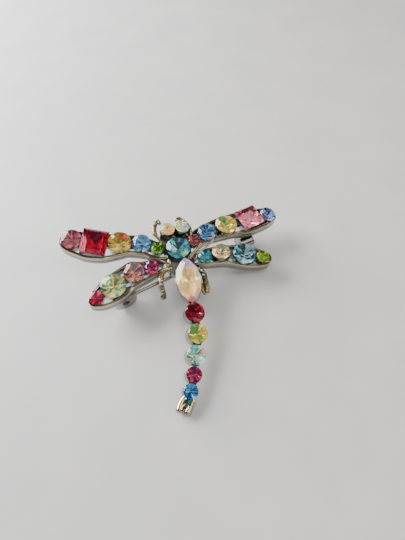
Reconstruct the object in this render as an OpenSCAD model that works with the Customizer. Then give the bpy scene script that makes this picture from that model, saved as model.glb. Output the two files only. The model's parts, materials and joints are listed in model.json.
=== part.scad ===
// Dragonfly brooch: a cast metal frame set with 27 cut glass stones, and a riveted pin
// stem behind it. Shapes are drawn in the brooch's own plane, with X along the wings,
// Y from the tail to the head and Z out of the stones' faces, and the body stone's
// centre at zero. The last step lays the brooch down on its pin fittings and tail tip.

/* [Stones] */
// Diameter of the large round stones
large_stone_d = 6.9; // [6.5:0.1:7.1]
// Diameter of the medium round stones
medium_stone_d = 5.7; // [5.3:0.1:5.9]
// Diameter of the small round stones
small_stone_d = 4.0; // [3.7:0.1:4.2]
// Side of the square stones
square_stone_w = 7.1; // [6.7:0.1:7.3]
// Length of the pointed body stone
body_stone_l = 13.8; // [13:0.1:14.6]
// Width of the pointed body stone
body_stone_w = 7.3; // [6.4:0.1:7.4]
// Gap between one stone and the next
stone_gap = 0.12; // [0.1:0.02:0.3]
// Height of a stone's crown, as a share of its width
crown_share = 0.16; // [0.12:0.01:0.2]
// Depth of a stone's pointed back, as a share of its width
back_share = 0.42; // [0.36:0.01:0.46]
// Width of a round stone's table, as a share of its width
table_share = 0.56; // [0.5:0.01:0.64]
// Thickness of a stone's edge
girdle_t = 0.15; // [0.1:0.01:0.25]

/* [Settings] */
// Gap between a stone and its cup
seat_gap = 0.08; // [0.05:0.01:0.12]
// Distance from a stone's edge down to its cup's lip
lip_drop = 0.4; // [0.35:0.05:0.6]
// Metal under a stone's point
cup_floor_t = 0.5; // [0.4:0.05:0.8]
// Diameter of the hole in the back of each cup
cup_hole_d = 1.2; // [0.8:0.1:1.5]
// Height of the tall eye cups over the other stones
eye_lift = 1.5; // [1:0.1:2]
// Height of the square stones over the round ones
square_lift = 0.5; // [0.2:0.1:0.8]

/* [Frame] */
// Height of the wing walls
wall_h = 2.8; // [2.4:0.1:3.2]
// Thickness of the wing walls
wall_t = 0.75; // [0.6:0.05:0.9]
// Distance from the stones' edges down to the top of the wing walls
wall_drop = 1.0; // [0.8:0.1:1.2]
// Width of the bars that join the cups
bar_w = 2.2; // [1.8:0.1:2.6]
// Height of the bars that join the cups
bar_h = 1.4; // [1.1:0.1:1.6]
// Thickness of the chest plate under the head
chest_h = 2.1; // [1.6:0.1:2.4]
// Largest width of the beaded legs
leg_d = 1.75; // [1.4:0.05:1.9]
// Largest width of the beaded feelers
feeler_d = 1.25; // [1:0.05:1.4]
// Diameter of the ball on each prong of the tail
tail_ball_d = 1.9; // [1.6:0.1:2.2]
// Length of the prongs of the tail
prong_l = 2.9; // [2.4:0.1:3.4]

/* [Pin] */
// Diameter of the pin stem
stem_d = 1.1; // [0.9:0.05:1.2]
// Length of the pin stem from its rivet to its point
stem_l = 43.6; // [43:0.1:44.6]
// Length of the stem's sharpened point
point_l = 6; // [4:0.5:8]
// Length of the stem's flattened root, from the rivet
root_l = 3.8; // [3.5:0.1:4.2]
// Distance from the stones' edges down to the stem's centre
stem_drop = 5.9; // [5.6:0.1:6.2]
// Diameter of the rivet
rivet_d = 1.2; // [1:0.05:1.4]
// Diameter of the rivet's domed head
rivet_head_d = 2.35; // [2:0.05:2.6]
// Running gap between the rivet and the stem's eye
eye_play = 0.05; // [0.02:0.01:0.09]
// Gap between the rivet and the cheeks that it is set in
rivet_gap = 0.03; // [0.02:0.01:0.04]
// Outside diameter of the stem's eye
stem_eye_d = 2.7; // [2.5:0.1:2.8]
// Thickness of the stem's eye
stem_eye_t = 1.1; // [0.9:0.1:1.2]
// Gap between the stem's eye and each cheek
cheek_gap = 0.1; // [0.08:0.01:0.15]
// Thickness of each hinge cheek
cheek_t = 0.9; // [0.8:0.05:1.2]
// Diameter of the outer cheek's round end
cheek_d = 6.6; // [6:0.1:6.8]
// Distance from the rivet down to the bottom of the inner cheek
inner_cheek_drop = 3.9; // [3.8:0.05:4.3]
// Width of the inner cheek
inner_cheek_w = 4.4; // [4:0.1:4.8]
// Thickness of the catch's hook
catch_t = 0.8; // [0.7:0.05:1]
// Thickness of the catch's back, which the brooch rests on
catch_back_t = 2.4; // [2:0.1:2.6]
// Length of the catch along the stem
catch_l = 4.2; // [3.4:0.1:4.6]
// Gap around the stem inside the catch
catch_gap = 0.25; // [0.2:0.01:0.3]
// Distance from the stem's centre down to the bottom of the catch
catch_drop = 3; // [2.8:0.05:3.4]

/* [Hidden] */
// Number of sides of the round surfaces
$fn = 48;
// Overlap of pieces of metal that are one solid
weld = 0.2;
// Number of main facets of a round stone
FACETS = 8;
// Number of sides of the pointed stone
POINTED_SIDES = 12;

// The tables count their lengths in quarters of a small stone's width
quarter = small_stone_d / 4;

// Columns of the tables of stones
NAME = 0;
CUT = 1;
SIZE = 2;
STEP = 3;      // direction from the stone before, in degrees
GAP = 4;       // distance from the stone before, over the usual gap, in quarters
LIFT = 5;      // height of the stone's edge over the brooch's plane, in quarters
LEAN_X = 6;    // tilt about X, in degrees
LEAN_Y = 7;    // tilt about Y, in degrees
SPIN = 8;      // turn about the stone's own axis, in degrees
COLOUR = 9;

HEAD_ROW = [
    ["head_stone", "round", large_stone_d, 107, 0.2, 0.3, 2, 0, 10, "darkturquoise"],
];
EYE_ROWS = [
    [["left_eye_stone", "round", small_stone_d * 1.03, 121.5, 0.65, eye_lift / quarter, 0, 0, 0, "moccasin"]],
    [["right_eye_stone", "round", small_stone_d * 1.03, 82, 0.75, eye_lift / quarter, -10, 12, 20, "honeydew"]],
];
UPPER_LEFT = [
    ["upper_left_stone_1", "round", small_stone_d * 0.96, 183, 0.55, 0, 8, 0, 0, "yellowgreen"],
    ["upper_left_stone_2", "round", medium_stone_d * 0.97, 164, 0, 0, 8, 0, 8, "lightskyblue"],
    ["upper_left_stone_3", "round", large_stone_d * 0.97, 181, 0, 0.1, 6, 3, 16, "khaki"],
    ["upper_left_stone_4", "square", square_stone_w * 1.02, 183, 0, square_lift / quarter, 9, 6, -5, "crimson"],
    ["upper_left_stone_5", "round", medium_stone_d * 1.03, 173, 0, 0, 9, 2, 4, "mistyrose"],
];
LOWER_LEFT = [
    ["lower_left_stone_1", "round", small_stone_d * 1.05, 222.5, 4.2, 0, 8, 0, 5, "mediumvioletred"],
    ["lower_left_stone_2", "round", medium_stone_d * 1.03, 199, 0, 0, 8, 0, 0, "rosybrown"],
    ["lower_left_stone_3", "round", large_stone_d, 220, 0.35, 0.1, 8, 0, 12, "aquamarine"],
    ["lower_left_stone_4", "round", small_stone_d * 0.98, 222, 0, 0, 9, 0, 0, "crimson"],
];
UPPER_RIGHT = [
    ["upper_right_stone_1", "round", small_stone_d * 0.93, 33, 0, -0.1, 2, 2, 0, "salmon"],
    ["upper_right_stone_2", "round", medium_stone_d, 38, 0, 0, 0, 0, 10, "royalblue"],
    ["upper_right_stone_3", "round", large_stone_d * 0.96, 27, 0.3, 0.1, -6, 3, 6, "lemonchiffon"],
    ["upper_right_stone_4", "square", square_stone_w * 0.97, 21, 0.8, square_lift / quarter, -2, 0, 29, "lightpink"],
    ["upper_right_stone_5", "round", medium_stone_d * 0.9, 17, 0, -0.1, -4, 4, 0, "cornflowerblue"],
];
LOWER_RIGHT = [
    ["lower_right_stone_1", "round", small_stone_d * 1.04, 343, 2.5, 0, 2, 0, 0, "teal"],
    ["lower_right_stone_2", "round", medium_stone_d * 0.97, 21, 0.1, 0, -13, 0, 8, "burlywood"],
    ["lower_right_stone_3", "round", large_stone_d * 0.99, 357, 0.6, 0.2, -2, 0, 14, "skyblue"],
    ["lower_right_stone_4", "round", small_stone_d * 0.98, 353, 0, -0.1, 0, 4, 0, "greenyellow"],
];
TAIL = [
    ["tail_stone_1", "round", medium_stone_d * 0.97, 281.5, 0, 0.2, 2, 12, 0, "firebrick"],
    ["tail_stone_2", "round", medium_stone_d * 0.97, 278, 0.2, 0, 2, 13, 10, "yellowgreen"],
    ["tail_stone_3", "round", medium_stone_d * 0.92, 267, 0.2, 0, 2, 13, 4, "paleturquoise"],
    ["tail_stone_4", "round", small_stone_d * 1.05, 264, 0.3, 0, 2, 13, 15, "mediumvioletred"],
    ["tail_stone_5", "round", small_stone_d * 0.98, 259, 0, 0, 2, 12, 0, "royalblue"],
];

// Direction of the pointed stone's upper tip, in degrees
body_heading = 100.5;
body_row = ["body_stone", "pointed", body_stone_w, 0, 0, 0.3, 3, -4, body_heading - 90, "palegoldenrod"];

// A flat direction at an angle
function heading(a) = [cos(a), sin(a), 0];

// The centre of stone i of a row, stepping from the stone before it
function row_centre(row, anchor, reach, i) =
    i < 0
        ? anchor
        : row_centre(row, anchor, reach, i - 1)
          + heading(row[i][STEP])
            * ((i == 0 ? reach : row[i - 1][SIZE] / 2) + row[i][SIZE] / 2 + stone_gap + row[i][GAP] * quarter);

body_centre = [0, 0, 0];
head_centre = row_centre(HEAD_ROW, body_centre, body_stone_l / 2, 0);
head_reach = large_stone_d / 2;

// The centres of all stones of a row that starts at the head
function wing_centres(row) = [for (i = [0:len(row) - 1]) row_centre(row, head_centre, head_reach, i)];
function lifted(p, row) = [p.x, p.y, row[LIFT] * quarter];
function placed(row, centres) = [for (i = [0:len(row) - 1]) [row[i], lifted(centres[i], row[i])]];

tail_centres = [for (i = [0:len(TAIL) - 1]) row_centre(TAIL, body_centre, body_stone_l / 2, i)];

// All stones as pairs of a table row and a place
STONES = concat(
    [[body_row, lifted(body_centre, body_row)]],
    placed(HEAD_ROW, [head_centre]),
    placed(EYE_ROWS[0], wing_centres(EYE_ROWS[0])),
    placed(EYE_ROWS[1], wing_centres(EYE_ROWS[1])),
    placed(UPPER_LEFT, wing_centres(UPPER_LEFT)),
    placed(LOWER_LEFT, wing_centres(LOWER_LEFT)),
    placed(UPPER_RIGHT, wing_centres(UPPER_RIGHT)),
    placed(LOWER_RIGHT, wing_centres(LOWER_RIGHT)),
    placed(TAIL, tail_centres)
);

// Outlines of the wing walls, counter-clockwise: number of the stone in its row, or HEAD,
// direction from its centre in degrees, and distance from its edge in quarters
HEAD = -1;
UPPER_LEFT_WALL = [
    [HEAD, 160, 0.7], [0, 90, 0.6], [1, 90, 0.1], [2, 60, 0.2], [2, 105, -0.1], [3, 80, 0.1],
    [3, 105, 0.1], [4, 60, 0.7], [4, 110, 0.5], [4, 154, 0.55], [4, 194, 0.75], [4, 241, 0.5],
    [4, 288, 1.6], [3, 243, 1.4], [3, 292, 1.45], [2, 250, 1.15], [2, 285, 0.15],
    [2, 316, 0.7], [1, 288, 0.7], [0, 270, 1.1], [HEAD, 226, 0.8], [HEAD, 196, 0.2],
];
LOWER_LEFT_WALL = [
    [0, 75, 0.9], [1, 68, 1.1], [1, 110, 0.9], [1, 148, 1.1], [2, 102, 0.9], [2, 139, 0.4],
    [2, 176, 1], [3, 140, 0.5], [3, 190, 0.3], [3, 228, 0.4], [3, 266, 0.35], [3, 318, 1.1],
    [2, 283, 1.1], [2, 322, 1], [1, 280, 1.2], [1, 325, 0.9], [0, 300, 0.1], [HEAD, 241, 3.8],
    [HEAD, 233, 2.3],
];
UPPER_RIGHT_WALL = [
    [HEAD, 312, 0.8], [0, 285, 1.2], [0, 350, 0.7], [1, 333, 0.5], [2, 262, 0.45],
    [2, 309, 0.3], [2, 333, 2], [3, 279, 1], [3, 324, 1.3], [4, 290, 0.35], [4, 345, 0.3],
    [4, 40, 0.3], [4, 90, 0.2], [3, 112, -0.2], [2, 115, 0.2], [1, 130, 0.2], [0, 130, 0.4],
];
LOWER_RIGHT_WALL = [
    [HEAD, 300, 2.6], [0, 240, 0.5], [0, 300, 0.45], [1, 291, 0.8], [2, 231, 0.9],
    [2, 293, 0.7], [3, 270, 0.7], [3, 320, 0.7], [3, 5, 0.8], [3, 55, 0.5], [2, 60, 0.3],
    [2, 107, 0.3], [1, 51, 0.7], [1, 92, 0.3], [1, 145, 0.4], [0, 120, 0.8], [HEAD, 328, 0.8],
];

WINGS = [
    [UPPER_LEFT, UPPER_LEFT_WALL],
    [LOWER_LEFT, LOWER_LEFT_WALL],
    [UPPER_RIGHT, UPPER_RIGHT_WALL],
    [LOWER_RIGHT, LOWER_RIGHT_WALL],
];

function wall_point(row, p) =
    p[0] == HEAD
        ? head_centre + heading(p[1]) * (head_reach + p[2] * quarter)
        : row_centre(row, head_centre, head_reach, p[0])
          + heading(p[1]) * (row[p[0]][SIZE] / 2 + p[2] * quarter);
function wall_points(row, table) = [for (p = table) let (q = wall_point(row, p)) [q.x, q.y]];

// A smooth closed curve through the points
CURVE_STEPS = 3;
function curve_at(a, b, c, d, t) =
    0.5 * (2 * b + (c - a) * t + (2 * a - 5 * b + 4 * c - d) * t * t + (3 * b - a - 3 * c + d) * t * t * t);
function closed_curve(pts) = [
    for (i = [0:len(pts) - 1], s = [0:CURVE_STEPS - 1])
        curve_at(
            pts[(i + len(pts) - 1) % len(pts)],
            pts[i],
            pts[(i + 1) % len(pts)],
            pts[(i + 2) % len(pts)],
            s / CURVE_STEPS
        )
];
// An open smooth curve through the points
function open_curve(pts, steps) = concat(
    [
        for (i = [0:len(pts) - 2], s = [0:steps - 1])
            curve_at(pts[max(i - 1, 0)], pts[i], pts[i + 1], pts[min(i + 2, len(pts) - 1)], s / steps)
    ],
    [pts[len(pts) - 1]]
);
function left_of(v) = [-v.y, v.x] / norm([v.x, v.y]);
// The curve moved inwards
function inset(pts, d) = [
    for (i = [0:len(pts) - 1])
        pts[i] + left_of(pts[(i + 1) % len(pts)] - pts[(i + len(pts) - 1) % len(pts)]) * d
];

wall_top = -wall_drop;
wall_bottom = wall_top - wall_h;

// A wing's outer wall
module wing_wall(row, table) {
    points = wall_points(row, table);
    translate([0, 0, wall_bottom])
        linear_extrude(height = wall_h)
            difference() {
                polygon(closed_curve(points));
                polygon(closed_curve(inset(points, wall_t)));
            }
}

// A flat bar through the middles of a row of cups, up to a height
function sideways(c, i, d) =
    let (q = left_of(c[min(i + 1, len(c) - 1)] - c[max(i - 1, 0)]) * d)
    [c[i].x + q.x, c[i].y + q.y];
module cup_bar(centres, top) {
    last = len(centres) - 1;
    translate([0, 0, top - bar_h])
        linear_extrude(height = bar_h)
            polygon(concat(
                [for (i = [0:last]) sideways(centres, i, -bar_w / 2)],
                [for (i = [last:-1:0]) sideways(centres, i, bar_w / 2)]
            ));
}

// Everything of a stone or its cup stands in the stone's own place and lean
module at_stone(s) {
    translate(s[1])
        rotate([s[0][LEAN_X], s[0][LEAN_Y], 0])
            rotate([0, 0, s[0][SPIN]])
                children();
}

// The outline of the pointed stone, at an angle from 0 to 360, as a share of full size
function pointed_radius(w, l) = (l * l + w * w) / (4 * w);
function pointed_outline(w, l, a, share) =
    let (r = pointed_radius(w, l), y = sin(a) * l / 2)
    [sign(round(cos(a) * 1000)) * (sqrt(r * r - y * y) - r + w / 2), y] * share;
function round_outline(w, a, share) = [cos(a), sin(a)] * w / 2 * share;
function square_outline(w, a, share) = [cos(a), sin(a)] * w / sqrt(2) * share;
function outline(cut, w, l, a, share) =
    cut == "pointed" ? pointed_outline(w, l, a, share)
    : cut == "square" ? square_outline(w, a, share)
    : round_outline(w, a, share);
function ring(cut, w, l, sides, turn, share, z) = [
    for (i = [0:sides - 1])
        let (p = outline(cut, w, l, (i + turn) * 360 / sides, share))
        [p.x, p.y, z]
];

// A round stone: table, star facets, kites, edge facets, edge and pointed back
module brilliant(w) {
    n = FACETS;
    crown = w * crown_share;
    star_share = 0.8;
    star_z = crown * (1 - star_share * cos(180 / n)) / (1 - table_share);
    points = concat(
        ring("round", w, w, n, 0, table_share, crown),
        ring("round", w, w, n, 0.5, star_share, star_z),
        ring("round", w, w, 2 * n, 0, 1, 0),
        ring("round", w, w, 2 * n, 0, 1, -girdle_t),
        [[0, 0, -girdle_t - w * back_share]]
    );
    stars = n;
    edge = 2 * n;
    low = 4 * n;
    tip = 6 * n;
    faces = concat(
        [[for (i = [n - 1:-1:0]) i]],
        [for (i = [0:n - 1]) [i, (i + 1) % n, stars + i]],
        [for (i = [0:n - 1]) [i, stars + i, edge + 2 * i]],
        [for (i = [0:n - 1]) [i, edge + 2 * i, stars + (i + n - 1) % n]],
        [for (i = [0:n - 1]) [stars + i, edge + 2 * i + 1, edge + 2 * i]],
        [for (i = [0:n - 1]) [stars + i, edge + (2 * i + 2) % (2 * n), edge + 2 * i + 1]],
        [for (i = [0:2 * n - 1]) [edge + i, edge + (i + 1) % (2 * n), low + (i + 1) % (2 * n), low + i]],
        [for (i = [0:2 * n - 1]) [low + i, low + (i + 1) % (2 * n), tip]]
    );
    polyhedron(points, faces, convexity = 4);
}

// A stone with one ring of bevels round its table, for the square and the pointed cuts.
// The fullness moves the middle ring of its back outwards.
module bevelled(cut, w, l, sides, turn, table, fullness) {
    n = sides;
    depth = w * back_share;
    points = concat(
        ring(cut, w * table.x, l * table.y, n, turn, 1, w * crown_share),
        ring(cut, w, l, n, turn, 1, 0),
        ring(cut, w, l, n, turn, 1, -girdle_t),
        ring(cut, w, l, n, turn, fullness, -girdle_t - depth / 2),
        [[0, 0, -girdle_t - depth]]
    );
    faces = concat(
        [[for (i = [n - 1:-1:0]) i]],
        [for (i = [0:n - 1]) [i, (i + 1) % n, n + (i + 1) % n]],
        [for (i = [0:n - 1]) [i, n + (i + 1) % n, n + i]],
        [
            for (k = [1:2], i = [0:n - 1])
                [k * n + i, k * n + (i + 1) % n, (k + 1) * n + (i + 1) % n, (k + 1) * n + i]
        ],
        [for (i = [0:n - 1]) [3 * n + i, 3 * n + (i + 1) % n, 4 * n]]
    );
    polyhedron(points, faces, convexity = 4);
}

// Width and length of a table, as shares of the stone's
SQUARE_TABLE = [0.74, 0.74];
POINTED_TABLE = [0.48, 0.7];
BACK_FULLNESS = 0.6;

module stone_shape(cut, w, grow) {
    if (cut == "round") brilliant(w + grow);
    if (cut == "square") bevelled(cut, w + grow, w + grow, 4, 0.5, SQUARE_TABLE, BACK_FULLNESS);
    if (cut == "pointed")
        bevelled(cut, w + grow, body_stone_l + grow, POINTED_SIDES, 0, POINTED_TABLE, BACK_FULLNESS);
}

module stone(s) {
    color(s[0][COLOUR])
        lay_down()
            at_stone(s)
                stone_shape(s[0][CUT], s[0][SIZE], 0);
}

function cup_depth(s) = girdle_t + s[0][SIZE] * back_share + cup_floor_t;
// The bars of the wings reach into the shallowest cup
bar_top = weld - min([for (s = STONES) cup_depth(s) - s[1].z]);

// The outside of a stone's cup
module cup_body(s) {
    w = s[0][SIZE];
    depth = cup_depth(s);
    at_stone(s)
        translate([0, 0, -depth]) {
            if (s[0][CUT] == "round")
                cylinder(h = depth - lip_drop, d = w);
            if (s[0][CUT] == "square")
                translate([-w / 2, -w / 2, 0])
                    cube([w, w, depth - lip_drop]);
            if (s[0][CUT] == "pointed") {
                r = pointed_radius(w, body_stone_l);
                intersection() {
                    translate([r - w / 2, 0, 0])
                        cylinder(h = depth - lip_drop, r = r);
                    translate([w / 2 - r, 0, 0])
                        cylinder(h = depth - lip_drop, r = r);
                }
            }
        }
}

// The room for a stone in its cup, with the hole behind its point
module cup_room(s) {
    w = s[0][SIZE];
    depth = w * back_share;
    at_stone(s) {
        if (s[0][CUT] == "round")
            translate([0, 0, -girdle_t - depth])
                cylinder(h = depth, r1 = seat_gap, r2 = w / 2 + seat_gap);
        else
            translate([0, 0, -seat_gap / 2])
                stone_shape(s[0][CUT], w, 2 * seat_gap);
        translate([0, 0, -2 * cup_depth(s)])
            cylinder(h = 2 * cup_depth(s) - girdle_t - depth / 2, d = cup_hole_d);
    }
}

// The tall and wide cup of an eye, down to the bottom of the walls
EYE_CUP = 1.12;
module eye_column(s) {
    w = s[0][SIZE] * EYE_CUP;
    depth = cup_depth(s);
    translate([s[1].x, s[1].y, wall_bottom])
        cylinder(h = eye_lift - wall_bottom - depth + weld, d = w);
    at_stone(s)
        translate([0, 0, -depth])
            cylinder(h = depth - lip_drop, d = w);
}

// The chest under the head, where the wings and the body meet: direction from the head's
// centre in degrees, and distance from its edge in quarters
CHEST = [
    [240, 3], [222, 1.6], [200, 0.4], [165, 0.6], [135, 2.2], [112, 4.2], [88, 4.6], [62, 2.2], [30, 0.8],
    [355, 0.5], [330, 2], [312, 4.4], [295, 5.6], [275, 5], [255, 4.2],
];
chest_points = [
    for (p = CHEST) let (q = head_centre + heading(p[0]) * (head_reach + p[1] * quarter)) [q.x, q.y]
];
module chest() {
    translate([0, 0, wall_bottom + weld / 2])
        linear_extrude(height = chest_h)
            polygon(closed_curve([for (i = [len(chest_points) - 1:-1:0]) chest_points[i]]));
}

// The brow that carries the eyes
BROW = [
    [178, 0.4], [163, 1.4], [150, 2.8], [142, 3.6], [130, 4.4], [115, 4.6], [100, 4.2], [88, 4.6],
    [75, 4.4], [62, 3.6], [52, 2.4], [42, 1.4], [28, 0.5], [60, -1.2], [100, -1.2], [140, -1.2],
];
BROW_TOP = -1.1 * quarter;
module brow() {
    points = [for (p = from_head([for (b = BROW) [b[0], b[1], 0]])) [p.x, p.y]];
    translate([0, 0, wall_bottom + weld])
        linear_extrude(height = BROW_TOP - wall_bottom - weld)
            polygon(closed_curve([for (i = [len(points) - 1:-1:0]) points[i]]));
}

// A beaded wire along a path, as one skin with a ring at every bead and waist. The widths
// are shares of its diameter, one for each point.
WIRE_SIDES = 7;
BEAD_WAIST = 0.78;
WIRE_END = 0.6;
function path_way(path, i) =
    let (d = path[min(i + 1, len(path) - 1)] - path[max(i - 1, 0)]) d / norm(d);
module beaded_wire(points, widths, d, steps) {
    path = open_curve(points, steps);
    shares = open_curve(widths, steps);
    rings = len(path);
    skin = [
        for (i = [0:rings - 1])
            let (
                way = path_way(path, i),
                side = cross(way, [0, 0, 1]) / norm(cross(way, [0, 0, 1])),
                up = cross(side, way),
                end = i == 0 || i == rings - 1,
                r = d / 2 * shares[i] * (end ? WIRE_END : i % 2 == 0 ? 1 : BEAD_WAIST)
            )
            for (k = [0:WIRE_SIDES - 1])
                path[i] + (side * cos(k * 360 / WIRE_SIDES) + up * sin(k * 360 / WIRE_SIDES)) * r
    ];
    m = WIRE_SIDES;
    faces = concat(
        [[for (k = [m - 1:-1:0]) k]],
        [for (i = [0:rings - 2], k = [0:m - 1]) [i * m + k, (i + 1) * m + (k + 1) % m, (i + 1) * m + k]],
        [for (i = [0:rings - 2], k = [0:m - 1]) [i * m + k, i * m + (k + 1) % m, (i + 1) * m + (k + 1) % m]],
        [[for (k = [0:m - 1]) (rings - 1) * m + k]]
    );
    polyhedron(skin, faces, convexity = 6);
}

// Paths of the wires: direction from the head's centre in degrees, distance from its edge
// and height in quarters, and width as a share of the wire's diameter
LEFT_LEG = [
    [244, 1.9, -2, 0.85], [241, 4.6, -1.6, 0.95], [243, 6.9, -1.4, 0.95], [250, 9.2, -1.5, 0.95],
    [254.7, 10.8, -2, 1], [256.9, 12.2, -2.5, 1.05],
];
RIGHT_LEG = [
    [312, 2.6, -2, 0.85], [316.8, 6.3, -1.6, 0.9], [309.5, 9.2, -1.5, 0.95], [306, 10.9, -1.7, 1],
    [302.6, 12.1, -2.3, 1.05],
];
LEFT_FEELER = [
    [190, 0.5, -1.8, 0.6], [165, 1.3, -1, 0.6], [152, 3.5, -0.3, 0.65], [149, 4.7, 0.2, 1],
    [141, 5.9, 0.6, 1], [133, 6.6, 1, 1], [129, 6.6, 1.2, 0.9], [128.5, 5.3, 1.2, 0.8],
];
RIGHT_FEELER = [
    [40, 1.6, -1.8, 0.6], [56, 2.9, -0.6, 0.7], [66, 4.5, -0.3, 0.8], [82, 5.9, 0, 0.9],
    [92, 6.5, 0.2, 0.9], [98, 5.6, 0.3, 0.8],
];
WIRES = [
    [LEFT_LEG, leg_d, 5], [RIGHT_LEG, leg_d, 6], [LEFT_FEELER, feeler_d, 4], [RIGHT_FEELER, feeler_d, 4],
];
function from_head(table) = [
    for (p = table)
        head_centre + heading(p[0]) * (head_reach + p[1] * quarter) + [0, 0, p[2] * quarter]
];

// The forked tail tip behind the last stone
tail_end = tail_centres[len(TAIL) - 1];
tail_reach = TAIL[len(TAIL) - 1][SIZE] / 2;
tail_ball_z = -1.7 * quarter;
// Widths of the fork's root and of each prong's two ends, as shares of the ball's diameter
ROOT_SHARE = 1.1;
PRONG_SHARES = [0.95, 0.75];
// Direction of each prong in degrees, and its share of the prongs' length
PRONGS = [[222, 1], [268, 0.88]];
fork_heading = 255;
tail_root = tail_end + heading(fork_heading) * (tail_reach + weld) + [0, 0, tail_ball_z];
function prong_end(p) = tail_root + heading(p[0]) * prong_l * p[1];
module tail_fork() {
    translate(tail_root)
        sphere(d = tail_ball_d * ROOT_SHARE);
    for (p = PRONGS) {
        tip = prong_end(p);
        along = tip - tail_root;
        translate(tail_root)
            rotate([0, 90, atan2(along.y, along.x)])
                cylinder(h = norm(along), d1 = tail_ball_d * PRONG_SHARES[0], d2 = tail_ball_d * PRONG_SHARES[1]);
        translate(tip)
            sphere(d = tail_ball_d);
    }
}

// The pin runs behind the wings, from the lower left wing to the upper right one
stem_heading = 29.6;
stem_way = heading(stem_heading);
stem_out = heading(stem_heading - 90);
// The rivet's place under the wing's third stone: direction in degrees, share of the stone
HINGE_HEADING = 333;
HINGE_SHARE = 0.42;
hinge_place = row_centre(LOWER_LEFT, head_centre, head_reach, 2)
    + heading(HINGE_HEADING) * large_stone_d * HINGE_SHARE
    - [0, 0, stem_drop];
catch_place = hinge_place + stem_way * (stem_l - catch_l / 2);

// Turns the X axis along the stem and the Y axis to the head's side of it
module at_stem(place) {
    translate(place)
        rotate([0, 0, stem_heading])
            children();
}

slot_w = stem_eye_t + 2 * cheek_gap;
// Room around the turning eye
eye_room = 0.2;
// The inner cheek and the catch are made longer by this, then filed flat to the floor
foot_spare = 0.1;
// How far the cheeks and the catch reach up into the wings
wing_bite = 3 * weld;
cheek_rise = stem_drop + wall_bottom + wing_bite;

// The two cheeks of the hinge, under the lower left wing
module hinge_cheeks() {
    at_stem(hinge_place) {
        translate([0, -slot_w / 2, 0])
            rotate([90, 0, 0])
                cylinder(h = cheek_t, d = cheek_d);
        translate([-cheek_d / 2, -slot_w / 2 - cheek_t, 0])
            cube([cheek_d, cheek_t, cheek_rise]);
        translate([-inner_cheek_w / 2, slot_w / 2, 0])
            cube([inner_cheek_w, cheek_t, cheek_rise]);
        inner_r = inner_cheek_w / 2;
        translate([0, slot_w / 2 + cheek_t, inner_r - inner_cheek_drop - foot_spare])
            rotate([90, 0, 0])
                cylinder(h = cheek_t, r = inner_r);
        translate([-inner_r, slot_w / 2, inner_r - inner_cheek_drop - foot_spare])
            cube([inner_cheek_w, cheek_t, inner_cheek_drop + foot_spare - inner_r + weld]);
        translate([-cheek_d / 2, -slot_w / 2 - cheek_t, cheek_rise - wing_bite])
            cube([cheek_d, slot_w + 2 * cheek_t, wing_bite + 2 * weld]);
    }
}

// The hook that the stem's point rests in. It is open below, so the stem swings clear.
catch_r = stem_d / 2 + catch_gap;
// How far the hook's lip reaches below the stem's centre
hook_lip = stem_d / 4;
module pin_catch() {
    at_stem(catch_place) {
        difference() {
            rotate([0, 90, 0])
                cylinder(h = catch_l, r = catch_r + catch_t, center = true);
            rotate([0, 90, 0])
                cylinder(h = 2 * catch_l, r = catch_r, center = true);
            translate([0, 0, -hook_lip - catch_drop])
                cube([2 * catch_l, 2 * catch_drop, 2 * catch_drop], center = true);
        }
        translate([-catch_l / 2, catch_r, -catch_drop - foot_spare])
            cube([catch_l, catch_back_t, catch_drop + foot_spare + cheek_rise]);
    }
}

// The bore of the rivet through both cheeks, and the room between them for the stem's eye
module rivet_bore() {
    at_stem(hinge_place)
        rotate([90, 0, 0]) {
            cylinder(h = 4 * slot_w, d = rivet_d + 2 * rivet_gap, center = true);
            cylinder(h = slot_w, d = stem_eye_d + 2 * eye_room, center = true);
        }
}

rivet_out = slot_w / 2 + cheek_t;
rivet_head_h = 0.45;
rivet_head_gap = 0.03;

module rivet() {
    color("gainsboro")
        lay_down()
            at_stem(hinge_place) {
                rotate([90, 0, 0])
                    translate([0, 0, -rivet_out])
                        cylinder(h = 2 * rivet_out + rivet_head_gap + weld / 2, d = rivet_d);
                // The domed head is a slice of a ball
                ball_r = (rivet_head_d * rivet_head_d / 4 + rivet_head_h * rivet_head_h) / (2 * rivet_head_h);
                intersection() {
                    translate([0, -rivet_out - rivet_head_gap + ball_r - rivet_head_h, 0])
                        sphere(r = ball_r);
                    translate([0, -rivet_out - rivet_head_gap, 0])
                        rotate([90, 0, 0])
                            cylinder(h = rivet_head_h, d = rivet_head_d);
                }
            }
}

// The wire is flattened between its eye and its round length. The share is the root's half
// height at the eye, over the eye's diameter.
ROOT_NEAR = 0.45;
module stem_root() {
    near = stem_eye_d * ROOT_NEAR;
    far = stem_d / 2;
    rotate([90, 0, 0])
        linear_extrude(height = stem_eye_t, center = true)
            polygon([[0, -near], [root_l, -far], [root_l, far], [0, near]]);
}

// Width of the stem's tip, as a share of its diameter
POINT_SHARE = 0.2;
module pin_stem() {
    color("silver")
        lay_down()
            at_stem(hinge_place)
                difference() {
                    union() {
                        rotate([90, 0, 0])
                            cylinder(h = stem_eye_t, d = stem_eye_d, center = true);
                        stem_root();
                        rotate([0, 90, 0]) {
                            translate([0, 0, root_l - weld])
                                cylinder(h = stem_l - root_l - point_l + weld, d = stem_d);
                            translate([0, 0, stem_l - point_l])
                                cylinder(h = point_l, d1 = stem_d, d2 = stem_d * POINT_SHARE);
                        }
                    }
                    rotate([90, 0, 0])
                        cylinder(h = 2 * stem_eye_t, d = rivet_d + 2 * eye_play, center = true);
                }
}

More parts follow.
